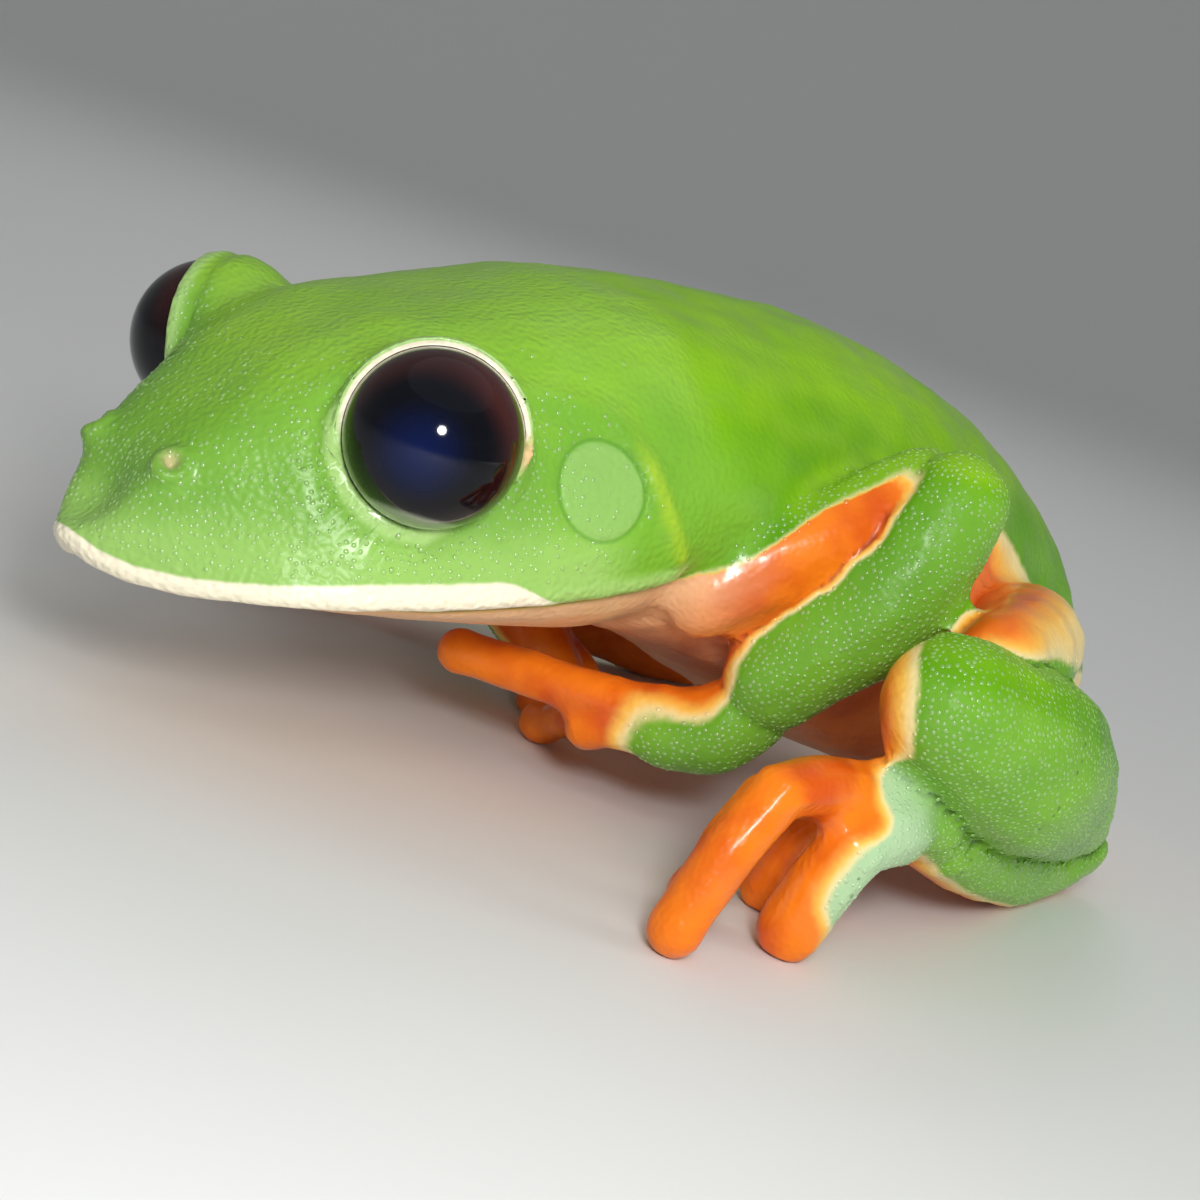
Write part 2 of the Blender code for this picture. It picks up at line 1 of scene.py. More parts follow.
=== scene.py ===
"""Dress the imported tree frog: one moist skin, two glossy eyes, and a plain studio.

The frog faces -X with its left side towards -Y. Lengths are in millimetres
unless a name says metres, and turn into metres where a mesh is written.
"""

from __future__ import annotations

import logging
import math
import sys
from dataclasses import dataclass, field
from enum import Enum
from typing import Sequence

import bmesh
import bpy
import numpy as np
from mathutils import Matrix, Vector, noise
from mathutils.bvhtree import BVHTree

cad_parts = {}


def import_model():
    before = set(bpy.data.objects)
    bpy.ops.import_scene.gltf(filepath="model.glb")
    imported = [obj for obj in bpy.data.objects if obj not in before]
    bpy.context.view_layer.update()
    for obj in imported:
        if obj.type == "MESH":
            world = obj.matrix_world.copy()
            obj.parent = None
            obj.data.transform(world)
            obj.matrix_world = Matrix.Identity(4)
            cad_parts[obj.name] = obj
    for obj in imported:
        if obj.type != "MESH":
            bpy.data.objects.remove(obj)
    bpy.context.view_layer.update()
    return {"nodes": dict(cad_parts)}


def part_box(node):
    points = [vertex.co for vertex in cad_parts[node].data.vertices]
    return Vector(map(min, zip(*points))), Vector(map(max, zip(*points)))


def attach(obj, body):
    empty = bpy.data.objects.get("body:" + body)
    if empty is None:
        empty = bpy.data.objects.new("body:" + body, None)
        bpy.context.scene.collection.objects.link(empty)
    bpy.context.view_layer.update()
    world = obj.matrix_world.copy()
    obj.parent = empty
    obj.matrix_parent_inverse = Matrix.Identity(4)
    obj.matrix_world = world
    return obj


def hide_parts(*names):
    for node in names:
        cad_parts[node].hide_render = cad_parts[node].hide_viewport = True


MM = 0.001
LOG = logging.getLogger("tree_frog")
BODY = "root"

Colour = tuple[float, float, float]
Array = np.ndarray


def from_screen(red: int, green: int, blue: int) -> Colour:
    """Turn a colour of 0 to 255 on a screen into linear light.

    Args:
        red: The red part, 0 to 255.
        green: The green part, 0 to 255.
        blue: The blue part, 0 to 255.

    Returns:
        The three parts in linear light, 0 to 1.
    """

    def part(value: int) -> float:
        """Turn one part into linear light."""
        share = value / 255.0
        return share / 12.92 if share <= 0.04045 else ((share + 0.055) / 1.055) ** 2.4

    return part(red), part(green), part(blue)


def smooth_step(low: float, high: float, value: Array) -> Array:
    """Rise smoothly from 0 at low to 1 at high.

    Args:
        low: Where the step starts.
        high: Where the step ends; it may be below low.
        value: The numbers to place on the step.

    Returns:
        Numbers from 0 to 1.
    """
    share = np.clip((value - low) / (high - low), 0.0, 1.0)
    return share * share * (3.0 - 2.0 * share)


def bell(distance: Array, width: float) -> Array:
    """Return a smooth bump that is 1 at no distance and fades over the width."""
    return np.exp(-((distance / width) ** 2))


class Side(Enum):
    """The frog's two sides; the sign is that of the head's left axis."""

    LEFT = 1
    RIGHT = -1

    @property
    def word(self) -> str:
        """The word at the end of a node's name."""
        return self.name.lower()

    def node(self, part: str) -> str:
        """Return the node's name of a part on this side."""
        return f"{part}_{self.word}"

    def mirror(self, place: Sequence[float]) -> Array:
        """Return this side's (forward, left, up) for a place on the left side."""
        return np.array((place[0], self.value * place[1], place[2]))


class Wire:
    """A shader socket that takes part in Python sums."""

    def __init__(self, bench: Bench, socket: bpy.types.NodeSocket) -> None:
        """Keep the socket and the bench that makes its nodes."""
        self.bench = bench
        self.socket = socket

    def _math(self, operation: str, *values: Wire | float) -> Wire:
        """Add one Math node and return its result."""
        return self.bench.node("ShaderNodeMath", {"operation": operation}, dict(enumerate(values)))

    def __add__(self, other: Wire | float) -> Wire:
        """Return the sum."""
        return self._math("ADD", self, other)

    __radd__ = __add__

    def __sub__(self, other: Wire | float) -> Wire:
        """Return the difference."""
        return self._math("SUBTRACT", self, other)

    def __rsub__(self, other: float) -> Wire:
        """Return a number less this."""
        return self._math("SUBTRACT", other, self)

    def __mul__(self, other: Wire | float) -> Wire:
        """Return the product."""
        return self._math("MULTIPLY", self, other)

    __rmul__ = __mul__

    def __truediv__(self, other: Wire | float) -> Wire:
        """Return the quotient."""
        return self._math("DIVIDE", self, other)

    def highest(self, other: Wire | float) -> Wire:
        """Return the larger of two."""
        return self._math("MAXIMUM", self, other)

    def step(self, low: float, high: float) -> Wire:
        """Rise smoothly from 0 at low to 1 at high."""
        settings = {"interpolation_type": "SMOOTHSTEP", "clamp": True}
        if low < high:
            values = {"Value": self, "From Min": low, "From Max": high}
            return self.bench.node("ShaderNodeMapRange", settings, values)
        values = {"Value": self, "From Min": high, "From Max": low}
        return 1.0 - self.bench.node("ShaderNodeMapRange", settings, values)

    def near(self, place: float, width: float) -> Wire:
        """Be 1 at a place and fade to 0 at the width on either side."""
        return self._math("ABSOLUTE", self - place).step(width, 0.0)


class Bench:
    """Makes a material's nodes and joins them."""

    def __init__(self, name: str) -> None:
        """Start a material that holds one Principled shader."""
        self.material = bpy.data.materials.new(name)
        self.material.use_nodes = True
        self.tree = self.material.node_tree
        self.shader = self.tree.nodes["Principled BSDF"]

    def node(self, kind: str, settings: dict[str, object], values: dict[object, object],
             output: int | str = 0) -> Wire:
        """Add one node.

        Args:
            kind: The node's type.
            settings: Its own settings, set before its sockets.
            values: A number, colour or wire for each named or numbered socket.
            output: Which of its outputs to return.

        Returns:
            The output as a wire.
        """
        made = self.tree.nodes.new(kind)
        for name, value in settings.items():
            setattr(made, name, value)
        for name, value in values.items():
            self.join(value, made.inputs[name])
        return Wire(self, made.outputs[output])

    def join(self, value: object, socket: bpy.types.NodeSocket) -> None:
        """Link a wire to a socket, or set the socket to a plain value."""
        if isinstance(value, Wire):
            self.tree.links.new(value.socket, socket)
        elif isinstance(value, tuple) and socket.type == "RGBA":
            socket.default_value = (*value, 1.0)[:4]
        else:
            socket.default_value = value

    def mask(self, name: str) -> Wire:
        """Read one number that the skin's mesh carries."""
        return self.node("ShaderNodeAttribute", {"attribute_name": name}, {}, "Fac")

    def place(self) -> Wire:
        """Return the point on the piece, in metres."""
        return self.node("ShaderNodeTexCoord", {}, {}, "Object")

    def blend(self, share: Wire | float, low: Wire | Colour, high: Wire | Colour) -> Wire:
        """Mix two colours: low at a share of 0 and high at 1."""
        settings = {"data_type": "RGBA", "clamp_factor": True}
        return self.node("ShaderNodeMix", settings, {0: share, 6: low, 7: high}, 2)

    def noise(self, size: float, detail: float = 1.0, rough: float = 0.5) -> Wire:
        """Return soft noise whose patches are about a size across, 0 to 1."""
        values = {"Vector": self.place(), "Scale": 1.0 / (size * MM), "Detail": detail, "Roughness": rough}
        return self.node("ShaderNodeTexNoise", {}, values, "Fac")

    def fixed(self, **values: object) -> None:
        """Set shader sockets that are the same all over; _ stands for a space."""
        for name, value in values.items():
            self.join(value, self.shader.inputs[name.replace("_", " ")])

    def bump(self, height: Wire, depth: float) -> Wire:
        """Turn a height of 0 to 1 into a normal, with depth in millimetres."""
        values = {"Height": height, "Distance": depth * MM, "Strength": 1.0}
        return self.node("ShaderNodeBump", {}, values, "Normal")


@dataclass(frozen=True)
class SkinFinish:
    """Moist, granular skin: green above, orange below and on the inner limbs."""

    leaf_green: Colour = from_screen(112, 174, 10)
    deep_green: Colour = from_screen(84, 148, 6)
    # Painted light: the green that the lit tops of back and head are lightened to.
    bright_green: Colour = from_screen(150, 200, 30)
    cheek_green: Colour = from_screen(162, 204, 110)
    ring_green: Colour = from_screen(178, 216, 132)
    ear_green: Colour = from_screen(146, 190, 104)
    ear_rim: Colour = from_screen(80, 138, 52)
    # Painted highlight: the pale green that beads are tinted to, standing in for their glints.
    bead_green: Colour = from_screen(196, 220, 172)
    fold_green: Colour = from_screen(178, 206, 52)
    foot_green: Colour = from_screen(176, 208, 160)
    cream: Colour = from_screen(250, 240, 212)
    margin_cream: Colour = from_screen(238, 220, 158)
    yellow: Colour = from_screen(252, 196, 84)
    orange: Colour = from_screen(246, 128, 24)
    deep_orange: Colour = from_screen(214, 84, 14)
    peach: Colour = from_screen(240, 190, 142)
    # Painted shade: the dark red and dark green laid into creases between limb parts.
    crease_shade_red: Colour = from_screen(112, 30, 10)
    crease_green: Colour = from_screen(36, 84, 10)
    nostril_pink: Colour = from_screen(206, 190, 142)
    line_brown: Colour = from_screen(120, 92, 60)

    def make(self) -> bpy.types.Material:
        """Make the skin's material.

        Returns:
            The material; it reads the numbers that the skin's mesh carries.
        """
        bench = Bench("moist_skin")
        ragged = (bench.noise(1.3, 2.0) - 0.5) * 0.22 + (bench.noise(0.35) - 0.5) * 0.14
        green_edge = bench.mask("green") + ragged
        above = self._above(bench)
        under = self._under(bench, green_edge)
        colour = bench.blend(green_edge.step(-0.16, 0.20), under, above)
        colour = self._face(bench, colour)
        bench.join(colour, bench.shader.inputs["Base Color"])
        self._gloss(bench)
        return bench.material

    def _above(self, bench: Bench) -> Wire:
        """Return the green of back, head and outer limbs, with painted top light, painted bead glints and
        painted crease shade.
        """
        patches = bench.noise(7.0, 2.0, 0.55)
        colour = bench.blend(patches.step(0.30, 0.72), self.deep_green, self.leaf_green)
        # Painted light: high, upward-facing skin is lightened towards this green, as if lit from above.
        light = bench.mask("light") + (bench.noise(2.6) - 0.5) * 0.5
        colour = bench.blend(light.step(0.15, 1.0) * 0.7, colour, self.bright_green)
        colour = bench.blend((bench.mask("grain") - 0.25) * 0.42, colour, self.cheek_green)
        # Painted highlight: beads are lightened towards this pale green, standing in for their glints.
        colour = bench.blend(bench.mask("bead") * 0.15, colour, self.bead_green)
        # Painted shade: creases between limb parts are darkened.
        crease = bench.mask("crease").step(0.25, 1.0)
        colour = bench.blend(crease * 0.75, colour, self.crease_green)
        pale = bench.mask("fade") + (bench.noise(1.2) - 0.5) * 0.2
        return bench.blend(pale.step(0.0, 1.0), colour, self.foot_green)

    def _under(self, bench: Bench, green_edge: Wire) -> Wire:
        """Return the orange, peach and cream below the green's edge, with painted shade in the creases."""
        patches = bench.noise(3.0, 2.0)
        warm = bench.blend(patches.step(0.34, 0.72), self.orange, self.deep_orange)
        colour = bench.blend(bench.mask("pale"), warm, self.peach)
        # Painted shade: creases between limb parts are darkened.
        crease = bench.mask("crease").step(0.25, 1.0)
        colour = bench.blend(crease * 0.75, colour, self.crease_shade_red)
        reach = (0.0 - green_edge) / bench.mask("margin").highest(0.05)
        colour = bench.blend(reach.step(0.35, 1.40), self.yellow, colour)
        return bench.blend(reach.step(0.05, 0.65), self.margin_cream, colour)

    def _face(self, bench: Bench, colour: Wire) -> Wire:
        """Lay lip stripe, lid rims, ear discs and nostrils over a colour."""
        lip = bench.mask("lip") + (bench.noise(0.7) - 0.5) * 0.10
        cheek = bench.mask("cheek") + (bench.noise(1.4) - 0.5) * 0.35
        colour = bench.blend(cheek.step(0.1, 1.0) * 0.72, colour, self.cheek_green)
        colour = bench.blend(bench.mask("fold") * 0.7, colour, self.fold_green)
        colour = bench.blend(bench.mask("lip_green"), colour, self.cheek_green)
        stripe = lip.step(0.0, 0.05) * lip.step(1.08, 0.92) * bench.mask("stripe")
        colour = bench.blend(stripe, colour, self.cream)
        seam = bench.mask("mouth").near(0.0, 0.16)
        colour = bench.blend(seam * 0.8, colour, self.line_brown)
        ear = bench.mask("ear_gap")
        colour = bench.blend(ear.step(0.0, -0.18) * 0.75, colour, self.ear_green)
        colour = bench.blend(ear.near(0.0, 0.15) * 0.5, colour, self.ear_rim)
        rim = bench.mask("rim_gap")
        colour = bench.blend(rim.step(0.80, 0.40) * 0.8, colour, self.ring_green)
        colour = bench.blend(rim.step(0.18, 0.09) * bench.mask("rim_cream"), colour, self.cream)
        colour = bench.blend(bench.mask("eye_corner"), colour, self.peach)
        return bench.blend(bench.mask("nostril"), colour, self.nostril_pink)

    def _gloss(self, bench: Bench) -> None:
        """Give the skin its wet sheen and fine granules."""
        grain = bench.mask("grain")
        fine = bench.noise(0.26, 0.0)
        bench.join(0.36 - grain * 0.04, bench.shader.inputs["Roughness"])
        beads = bench.mask("beads")
        wet = (bench.noise(2.0).step(0.35, 0.70) * 0.30 + 0.05) * (1.0 - beads * 0.8)
        wet = wet + bench.mask("bead") * 0.95
        bench.join(wet, bench.shader.inputs["Coat Weight"])
        height = fine * (grain * 0.9 + 0.25) * (1.0 - beads * 0.7)
        normal = bench.bump(height, 0.085)
        bench.join(normal, bench.shader.inputs["Normal"])
        bench.fixed(Coat_Roughness=0.16, Coat_IOR=1.8, Specular_IOR_Level=0.20)


@dataclass(frozen=True)
class EyeFinish:
    """A clear black eye with a deep blue middle and a maroon outer ring."""

    navy: Colour = from_screen(6, 20, 64)
    black: Colour = from_screen(6, 7, 14)
    maroon: Colour = from_screen(62, 26, 24)
    lid_grey: Colour = from_screen(138, 146, 128)

    def make(self) -> bpy.types.Material:
        """Make the material; it reads how far a point is from the eye's middle.

        Returns:
            The material of both eyes.
        """
        bench = Bench("glossy_eye")
        turn = bench.mask("turn") + (bench.noise(1.5) - 0.5) * 0.04
        colour = bench.blend(turn.step(0.02, 0.70), self.navy, self.black)
        colour = bench.blend(turn.step(0.78, 1.15) * bench.mask("warm"), colour, self.maroon)
        colour = bench.blend(bench.mask("lower_lid"), colour, self.lid_grey)
        bench.join(colour, bench.shader.inputs["Base Color"])
        bench.fixed(Roughness=0.08, Coat_Weight=0.30, Coat_Roughness=0.02, Coat_IOR=1.35,
                    Specular_IOR_Level=0.20)
        return bench.material


@dataclass(frozen=True)
class FloorFinish:
    """Plain pale matt floor."""

    tone: Colour = (0.74, 0.74, 0.72)

    def make(self) -> bpy.types.Material:
        """Make the floor's material."""
        bench = Bench("pale_floor")
        bench.fixed(Base_Color=self.tone, Roughness=0.75)
        return bench.material


@dataclass(frozen=True)
class HeadFrame:
    """The head's own directions: forward, left and up from between the eyes."""

    origin: Array
    axes: Array
    spread: float

    @classmethod
    def from_eyes(cls, nose_down: float = math.radians(14.0)) -> HeadFrame:
        """Work the head's frame out from the two eyes.

        Args:
            nose_down: How far the nose points below the level, in radians.

        Returns:
            The head's frame, with its origin in millimetres.
        """
        left, right = (eye_middle(side) for side in (Side.LEFT, Side.RIGHT))
        across = (left - right) / np.linalg.norm(left - right)
        ahead = np.array((-math.cos(nose_down), 0.0, -math.sin(nose_down)))
        ahead -= ahead.dot(across) * across
        ahead /= np.linalg.norm(ahead)
        spread = float(np.linalg.norm(left - right)) / 2.0
        return cls((left + right) / 2.0, np.array((ahead, across, np.cross(ahead, across))), spread)

    def local(self, points: Array) -> Array:
        """Return points as (forward, left, up)."""
        return (points - self.origin) @ self.axes.T

    def place(self, forward: float, left: float, up: float) -> Array:
        """Return a head point on the floor's axes."""
        return self.origin + np.array((forward, left, up)) @ self.axes


def eye_middle(side: Side) -> Array:
    """Return the middle of an eye in millimetres."""
    low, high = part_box(side.node("eye"))
    return np.array((low + high) / 2.0) / MM


def add_object(name: str, mesh: bmesh.types.BMesh) -> bpy.types.Object:
    """Put a mesh into the scene as an object, and free the mesh."""
    data = bpy.data.meshes.new(name)
    mesh.to_mesh(data)
    mesh.free()
    made = bpy.data.objects.new(name, data)
    bpy.context.scene.collection.objects.link(made)
    return made


def bake(made: bpy.types.Object) -> None:
    """Make what an object's modifiers give its own mesh."""
    graph = bpy.context.evaluated_depsgraph_get()
    data = bpy.data.meshes.new_from_object(made.evaluated_get(graph))
    made.modifiers.clear()
    made.data = data


def dress(made: bpy.types.Object, finish: bpy.types.Material) -> None:
    """Give an object smooth faces of one material."""
    made.data.materials.clear()
    made.data.materials.append(finish)
    for face in made.data.polygons:
        face.use_smooth = True
        face.material_index = 0


class Hide:
    """A mesh that is worked as arrays: points, links and normals in millimetres."""

    def __init__(self, obj: bpy.types.Object) -> None:
        """Take the points and links of an object's mesh."""
        self.obj = obj
        data = obj.data
        count = len(data.vertices)
        points = np.empty(count * 3)
        data.vertices.foreach_get("co", points)
        self.points = points.reshape(-1, 3) / MM
        links = np.empty(len(data.edges) * 2, dtype=np.int64)
        data.edges.foreach_get("vertices", links)
        self.links = links.reshape(-1, 2)
        ends = np.concatenate((self.links[:, 0], self.links[:, 1]))
        self.degree = np.bincount(ends, minlength=count).astype(float)

    def average(self, values: Array) -> Array:
        """Return each vertex's mean of its neighbours' values."""
        first, second = self.links[:, 0], self.links[:, 1]
        count = len(self.degree)

        def total(column: Array) -> Array:
            """Add the neighbours' values of one column."""
            return (np.bincount(first, column[second], count) + np.bincount(second, column[first], count))

        if values.ndim == 1:
            return total(values) / self.degree
        return np.stack([total(column) for column in values.T], axis=1) / self.degree[:, None]

    def soften(self, values: Array, rounds: int) -> Array:
        """Return values spread over their neighbours for some rounds."""
        for _ in range(rounds):
            values = 0.5 * values + 0.5 * self.average(values)
        return values

    def relax(self, rounds: int, share: Array | float = 1.0, shrink: float = 0.53) -> None:
        """Smooth the points without drawing thin parts in.

        Args:
            rounds: How many pairs of a smoothing and a widening pass.
            share: How much each vertex takes part, 0 to 1.
            shrink: The widening pass's strength.
        """
        weight = share[:, None] if isinstance(share, np.ndarray) else share
        for _ in range(rounds):
            for strength in (0.5, -shrink):
                self.points += weight * strength * (self.average(self.points) - self.points)

    def write(self) -> None:
        """Write the points back to the mesh."""
        self.obj.data.vertices.foreach_set("co", (self.points * MM).ravel())
        self.obj.data.update()

    def normals(self) -> Array:
        """Return the vertex normals of the points as they stand."""
        self.write()
        normals = np.empty(len(self.points) * 3)
        self.obj.data.vertices.foreach_get("normal", normals)
        return normals.reshape(-1, 3)

    def raise_by(self, amount: Array | float) -> None:
        """Move the points out along their normals by an amount."""
        shift = amount[:, None] if isinstance(amount, np.ndarray) else amount
        self.points += self.normals() * shift

    def tree(self) -> BVHTree:
        """Return a search tree of the mesh as it stands, in metres."""
        self.write()
        mesh = bmesh.new()
        mesh.from_mesh(self.obj.data)
        tree = BVHTree.FromBMesh(mesh)
        mesh.free()
        return tree

    def keep(self, **fields: Array) -> None:
        """Store named numbers, one of each for a vertex, for the shader to read."""
        for name, values in fields.items():
            layer = self.obj.data.attributes.new(name, "FLOAT", "POINT")
            layer.data.foreach_set("value", values.astype(np.float32))


def distance_to_path(points: Array, path: Array) -> Array:
    """Return how far points are from a line of straight spans.

    Args:
        points: The points, one a row.
        path: The line's corners, one a row.

    Returns:
        A distance for each point.
    """
    best = np.full(len(points), 1e9)
    for start, end in zip(path, path[1:]):
        span = end - start
        along = np.clip((points - start) @ span / span.dot(span), 0.0, 1.0)
        best = np.minimum(best, np.linalg.norm(points - start - along[:, None] * span, axis=1))
    return best


@dataclass(frozen=True)
class Ridge:
    """A raised line, or a pressed one where its height is below 0.

    The line is at a distance from a feature, and fades over its width.
    """

    height: float
    width: float
    at: float = 0.0

    def over(self, distance: Array) -> Array:
        """Return how far the skin rises at distances from the feature."""
        return self.height * bell(distance - self.at, self.width)


@dataclass(frozen=True)
class Marking:
    """Where a limb is green: its surfaces that face a way.

    The way is (back, out, up), level is where green starts as a cosine, girth
    is the limb's half-width and margin the width of the cream edge.
    """

    facing: tuple[float, float, float]
    level: float
    girth: float
    margin: float

    def edge(self, normals: Array, side: Side) -> Array:
        """Return how far inside the green a surface lies, in millimetres."""
        way = np.array((self.facing[0], -side.value * self.facing[1], self.facing[2]))
        return (normals @ (way / np.linalg.norm(way)) - self.level) * self.girth


@dataclass(frozen=True)
class LidPass:
    """One pass of shaping the lids and smoothing the skin round them.

    All the skin is smoothed for some rounds, whole, then only the band between
    inner and outer, as distances from the lid's rim, with a shrink of its own.
    """

    whole: int
    rounds: int
    inner: tuple[float, float]
    outer: tuple[float, float]
    shrink: float


@dataclass
class FrogSkin:
    """One closed skin over head, jaw, torso and limbs.

    Lengths are in millimetres. Places on the head are (forward, left, up) from
    between the eyes, and its lines are (forward, up). The flank's line is (x, z)
    on the floor's axes. A crease names two parts and how deep it is pressed.
    """

    head: HeadFrame
    finish: bpy.types.Material
    swell: float = 0.18
    cell: float = 0.355
    fine_eye: float = 1.1
    fine_nostril: float = 1.3
    fine_ear: float = 0.45
    fine_lip: tuple[float, float] = (-0.6, 1.4)
    eye_radius: float = 3.45
    tuck: float = 0.22
    ear_place: tuple[float, float] = (-7.25, -2.5)
    ear_radius: float = 1.9
    nostril: tuple[float, float, float] = (8.0, 2.5, -1.7)
    nostril_look: tuple[float, float, float] = (0.25, 0.85, 0.45)
    mouth_drop: float = 0.60
    lip_end: float = -11.6
    lip_out: float = 12.0
    lip_line: tuple[tuple[float, float], ...] = (
        (-12.5, -6.2), (-9.0, -6.4), (-5.0, -6.5), (-1.0, -6.4), (2.5, -6.2),
        (5.5, -6.1), (8.0, -6.1), (9.5, -5.9), (10.4, -5.5), (11.0, -4.9),
    )
    fold_line: tuple[tuple[float, float], ...] = (
        (-3.9, 1.6), (-6.2, 1.0), (-8.4, 0.1), (-9.5, -1.6), (-10.1, -3.6), (-10.9, -5.4),
    )
    rim_looks: dict[Side, tuple[float, float, float]] = field(default_factory=lambda: {
        Side.LEFT: (0.53, 0.81, 0.22), Side.RIGHT: (0.50, 0.86, -0.05),
    })
    rim_radius: float = 3.52
    rim_ahead: float = 0.10
    corner_spot: tuple[float, float, float] = (-3.15, 2.15, -0.50)
    corner_width: float = 0.62
    nostril_width: float = 0.36
    snout_hollow: tuple[float, float, float] = (9.8, 0.0, -3.2)
    head_end: float = -12.0
    leg_start: float = 3.0
    bare_foot: float = 0.35
    lid_passes: tuple[LidPass, ...] = (
        LidPass(3, 36, (0.45, 0.9), (4.2, 2.6), 0.0), LidPass(0, 10, (0.30, 0.7), (3.6, 2.2), 0.2),
    )
    mouth_groove: Ridge = Ridge(-0.30, 0.20)
    lip_roll: Ridge = Ridge(0.16, 0.45, 0.65)
    ear_groove: Ridge = Ridge(-0.14, 0.17)
    ear_sunk: float = 0.05
    ear_fold: Ridge = Ridge(0.24, 0.50)
    nostril_hole: Ridge = Ridge(-0.45, 0.26)
    nostril_rim: Ridge = Ridge(0.16, 0.26, 0.60)
    lid_roll: Ridge = Ridge(0.09, 0.25, 0.42)
    lid_groove: Ridge = Ridge(-0.22, 0.22, 0.98)
    snout_dip: Ridge = Ridge(-0.55, 1.5)
    crease_width: float = 0.30
    lumps: tuple[tuple[float, float], ...] = ((0.12, 0.50), (0.035, 1.45))
    normal_rounds: int = 8
    thigh_rounds: int = 26
    flank_line: tuple[tuple[float, float], ...] = (
        (-9.4, 12.6), (-6.7, 12.5), (-5.7, 12.9), (-3.3, 14.9), (-2.0, 16.0), (0.0, 17.1),
        (1.7, 18.3), (5.5, 18.0), (9.9, 16.9), (12.6, 15.9), (15.5, 14.2), (18.5, 12.0),
        (22.0, 9.6), (32.0, 7.6),
    )
    creases: tuple[tuple[str, str, float], ...] = (
        ("shank", "tarsus", 0.42), ("shank", "thigh", 0.30), ("forearm", "torso", 0.25),
        ("forearm", "upper_arm", 0.22), ("forearm", "hand", 0.16), ("upper_arm", "torso", 0.08),
        ("foot", "tarsus", 0.06), ("shank", "foot", 0.24),
    )
    fold: Array = field(default_factory=lambda: np.zeros(0))
    crease: Array = field(default_factory=lambda: np.zeros(0))
    limb: Array = field(default_factory=lambda: np.zeros(0))
    markings: dict[str, Marking] = field(default_factory=lambda: {
        "upper_arm": Marking((0.3, -0.9, 0.15), 1.6, 2.0, 0.1),
        "forearm": Marking((0.3, 0.9, 0.15), -0.30, 2.6, 0.9),
        "hand": Marking((0.25, 0.7, -0.25), 0.0, 2.0, 0.6),
        "thigh": Marking((0.95, 0.25, 0.45), 0.84, 2.8, 1.1),
        "shank": Marking((0.55, 0.75, 0.35), -0.38, 2.8, 1.0),
        "tarsus": Marking((0.3, 0.85, 0.45), 0.14, 1.8, 0.9),
        "foot": Marking((0.75, 0.6, 0.2), 0.05, 1.6, 0.7),
    })

    def build(self, nodes: dict[str, bpy.types.Object]) -> bpy.types.Object:
        """Make the skin from the flesh nodes.

        Args:
            nodes: The CAD nodes by name.

        Returns:
            The finished skin.
        """
        flesh = sorted(name for name in nodes if not name.startswith("eye_"))
        skin = self._wrap([nodes[name] for name in flesh])
        hide = Hide(skin)
        hide.relax(4)
        hide.raise_by(-self.swell)
        hide.relax(6)
        hide.write()
        self._refine(skin, hide)
        hide = Hide(skin)
        self._sculpt(hide, nodes)
        self._mark(hide, nodes, flesh)
        hide.write()
        dress(skin, self.finish)
        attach(skin, BODY)
        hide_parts(*flesh)
        LOG.info("skin: %d faces", len(skin.data.polygons))
        return skin

    def _wrap(self, parts: Sequence[bpy.types.Object]) -> bpy.types.Object:
        """Join swollen copies of the parts and wrap them in one surface."""
        mesh = bmesh.new()
        for part in parts:
            coat = bmesh.new()
            coat.from_mesh(part.data)
            bmesh.ops.remove_doubles(coat, verts=coat.verts, dist=0.001 * MM)
            coat.normal_update()
            for vert in coat.verts:
                vert.co += vert.normal * self.swell * MM
            spare = bpy.data.meshes.new("coat")
            coat.to_mesh(spare)
            coat.free()
            mesh.from_mesh(spare)
            bpy.data.meshes.remove(spare)
        skin = add_object("skin", mesh)
        wrap = skin.modifiers.new("wrap", "REMESH")
        wrap.mode = "VOXEL"
        wrap.voxel_size = self.cell * MM
        bake(skin)
        return skin

    def _refine(self, skin: bpy.types.Object, hide: Hide) -> None:
        """Split the faces round eyes, ears, nostrils and lips in four."""
        local = self.head.local(hide.points)
        fine = np.zeros(len(local), dtype=bool)
        for side in Side:
            fine |= self._eye_gap(local, side) < self.fine_eye
            fine |= np.linalg.norm(local - side.mirror(self.nostril), axis=1) < self.fine_nostril
            fine |= np.abs(self._ear_gap(local, side)) < self.fine_ear
        low, high = self.fine_lip
        above = self._above_mouth(local)
        fine |= (above > low) & (above < high) & self._on_lip(local)
        mesh = bmesh.new()
        mesh.from_mesh(skin.data)
        mesh.verts.ensure_lookup_table()
        edges = [edge for edge in mesh.edges if fine[edge.verts[0].index] and fine[edge.verts[1].index]]
        bmesh.ops.subdivide_edges(mesh, edges=edges, cuts=1, use_grid_fill=True)
        bmesh.ops.triangulate(mesh, faces=[face for face in mesh.faces if len(face.verts) > 4])
        mesh.to_mesh(skin.data)
        mesh.free()

    def _eye_gap(self, local: Array, side: Side) -> Array:
        """Return how far head points are from an eye's surface."""
        centre = side.mirror((0.0, self.head.spread, 0.0))
        return np.linalg.norm(local - centre, axis=1) - self.eye_radius

    def _ear_gap(self, local: Array, side: Side) -> Array:
        """Return how far head points are outside an ear disc's edge."""
        away = np.hypot(local[:, 0] - self.ear_place[0], (local[:, 2] - self.ear_place[1]))
        outside = np.where(local[:, 1] * side.value > 4.0, 0.0, 9.0)
        return away - self.ear_radius + outside

    def _lip_height(self, forward: Array) -> Array:
        """Return the height of the mouth's line along the head."""
        places, heights = zip(*self.lip_line)
        return np.interp(forward, places, heights) - self.mouth_drop

    def _above_mouth(self, local: Array) -> Array:
        """Return how far head points are above the mouth's line."""
        return local[:, 2] - self._lip_height(local[:, 0])

    def _on_lip(self, local: Array) -> Array:
        """Tell which points lie on the outside of the jaws."""
        return (local[:, 0] > self.lip_end) & (np.abs(local[:, 1]) < self.lip_out)

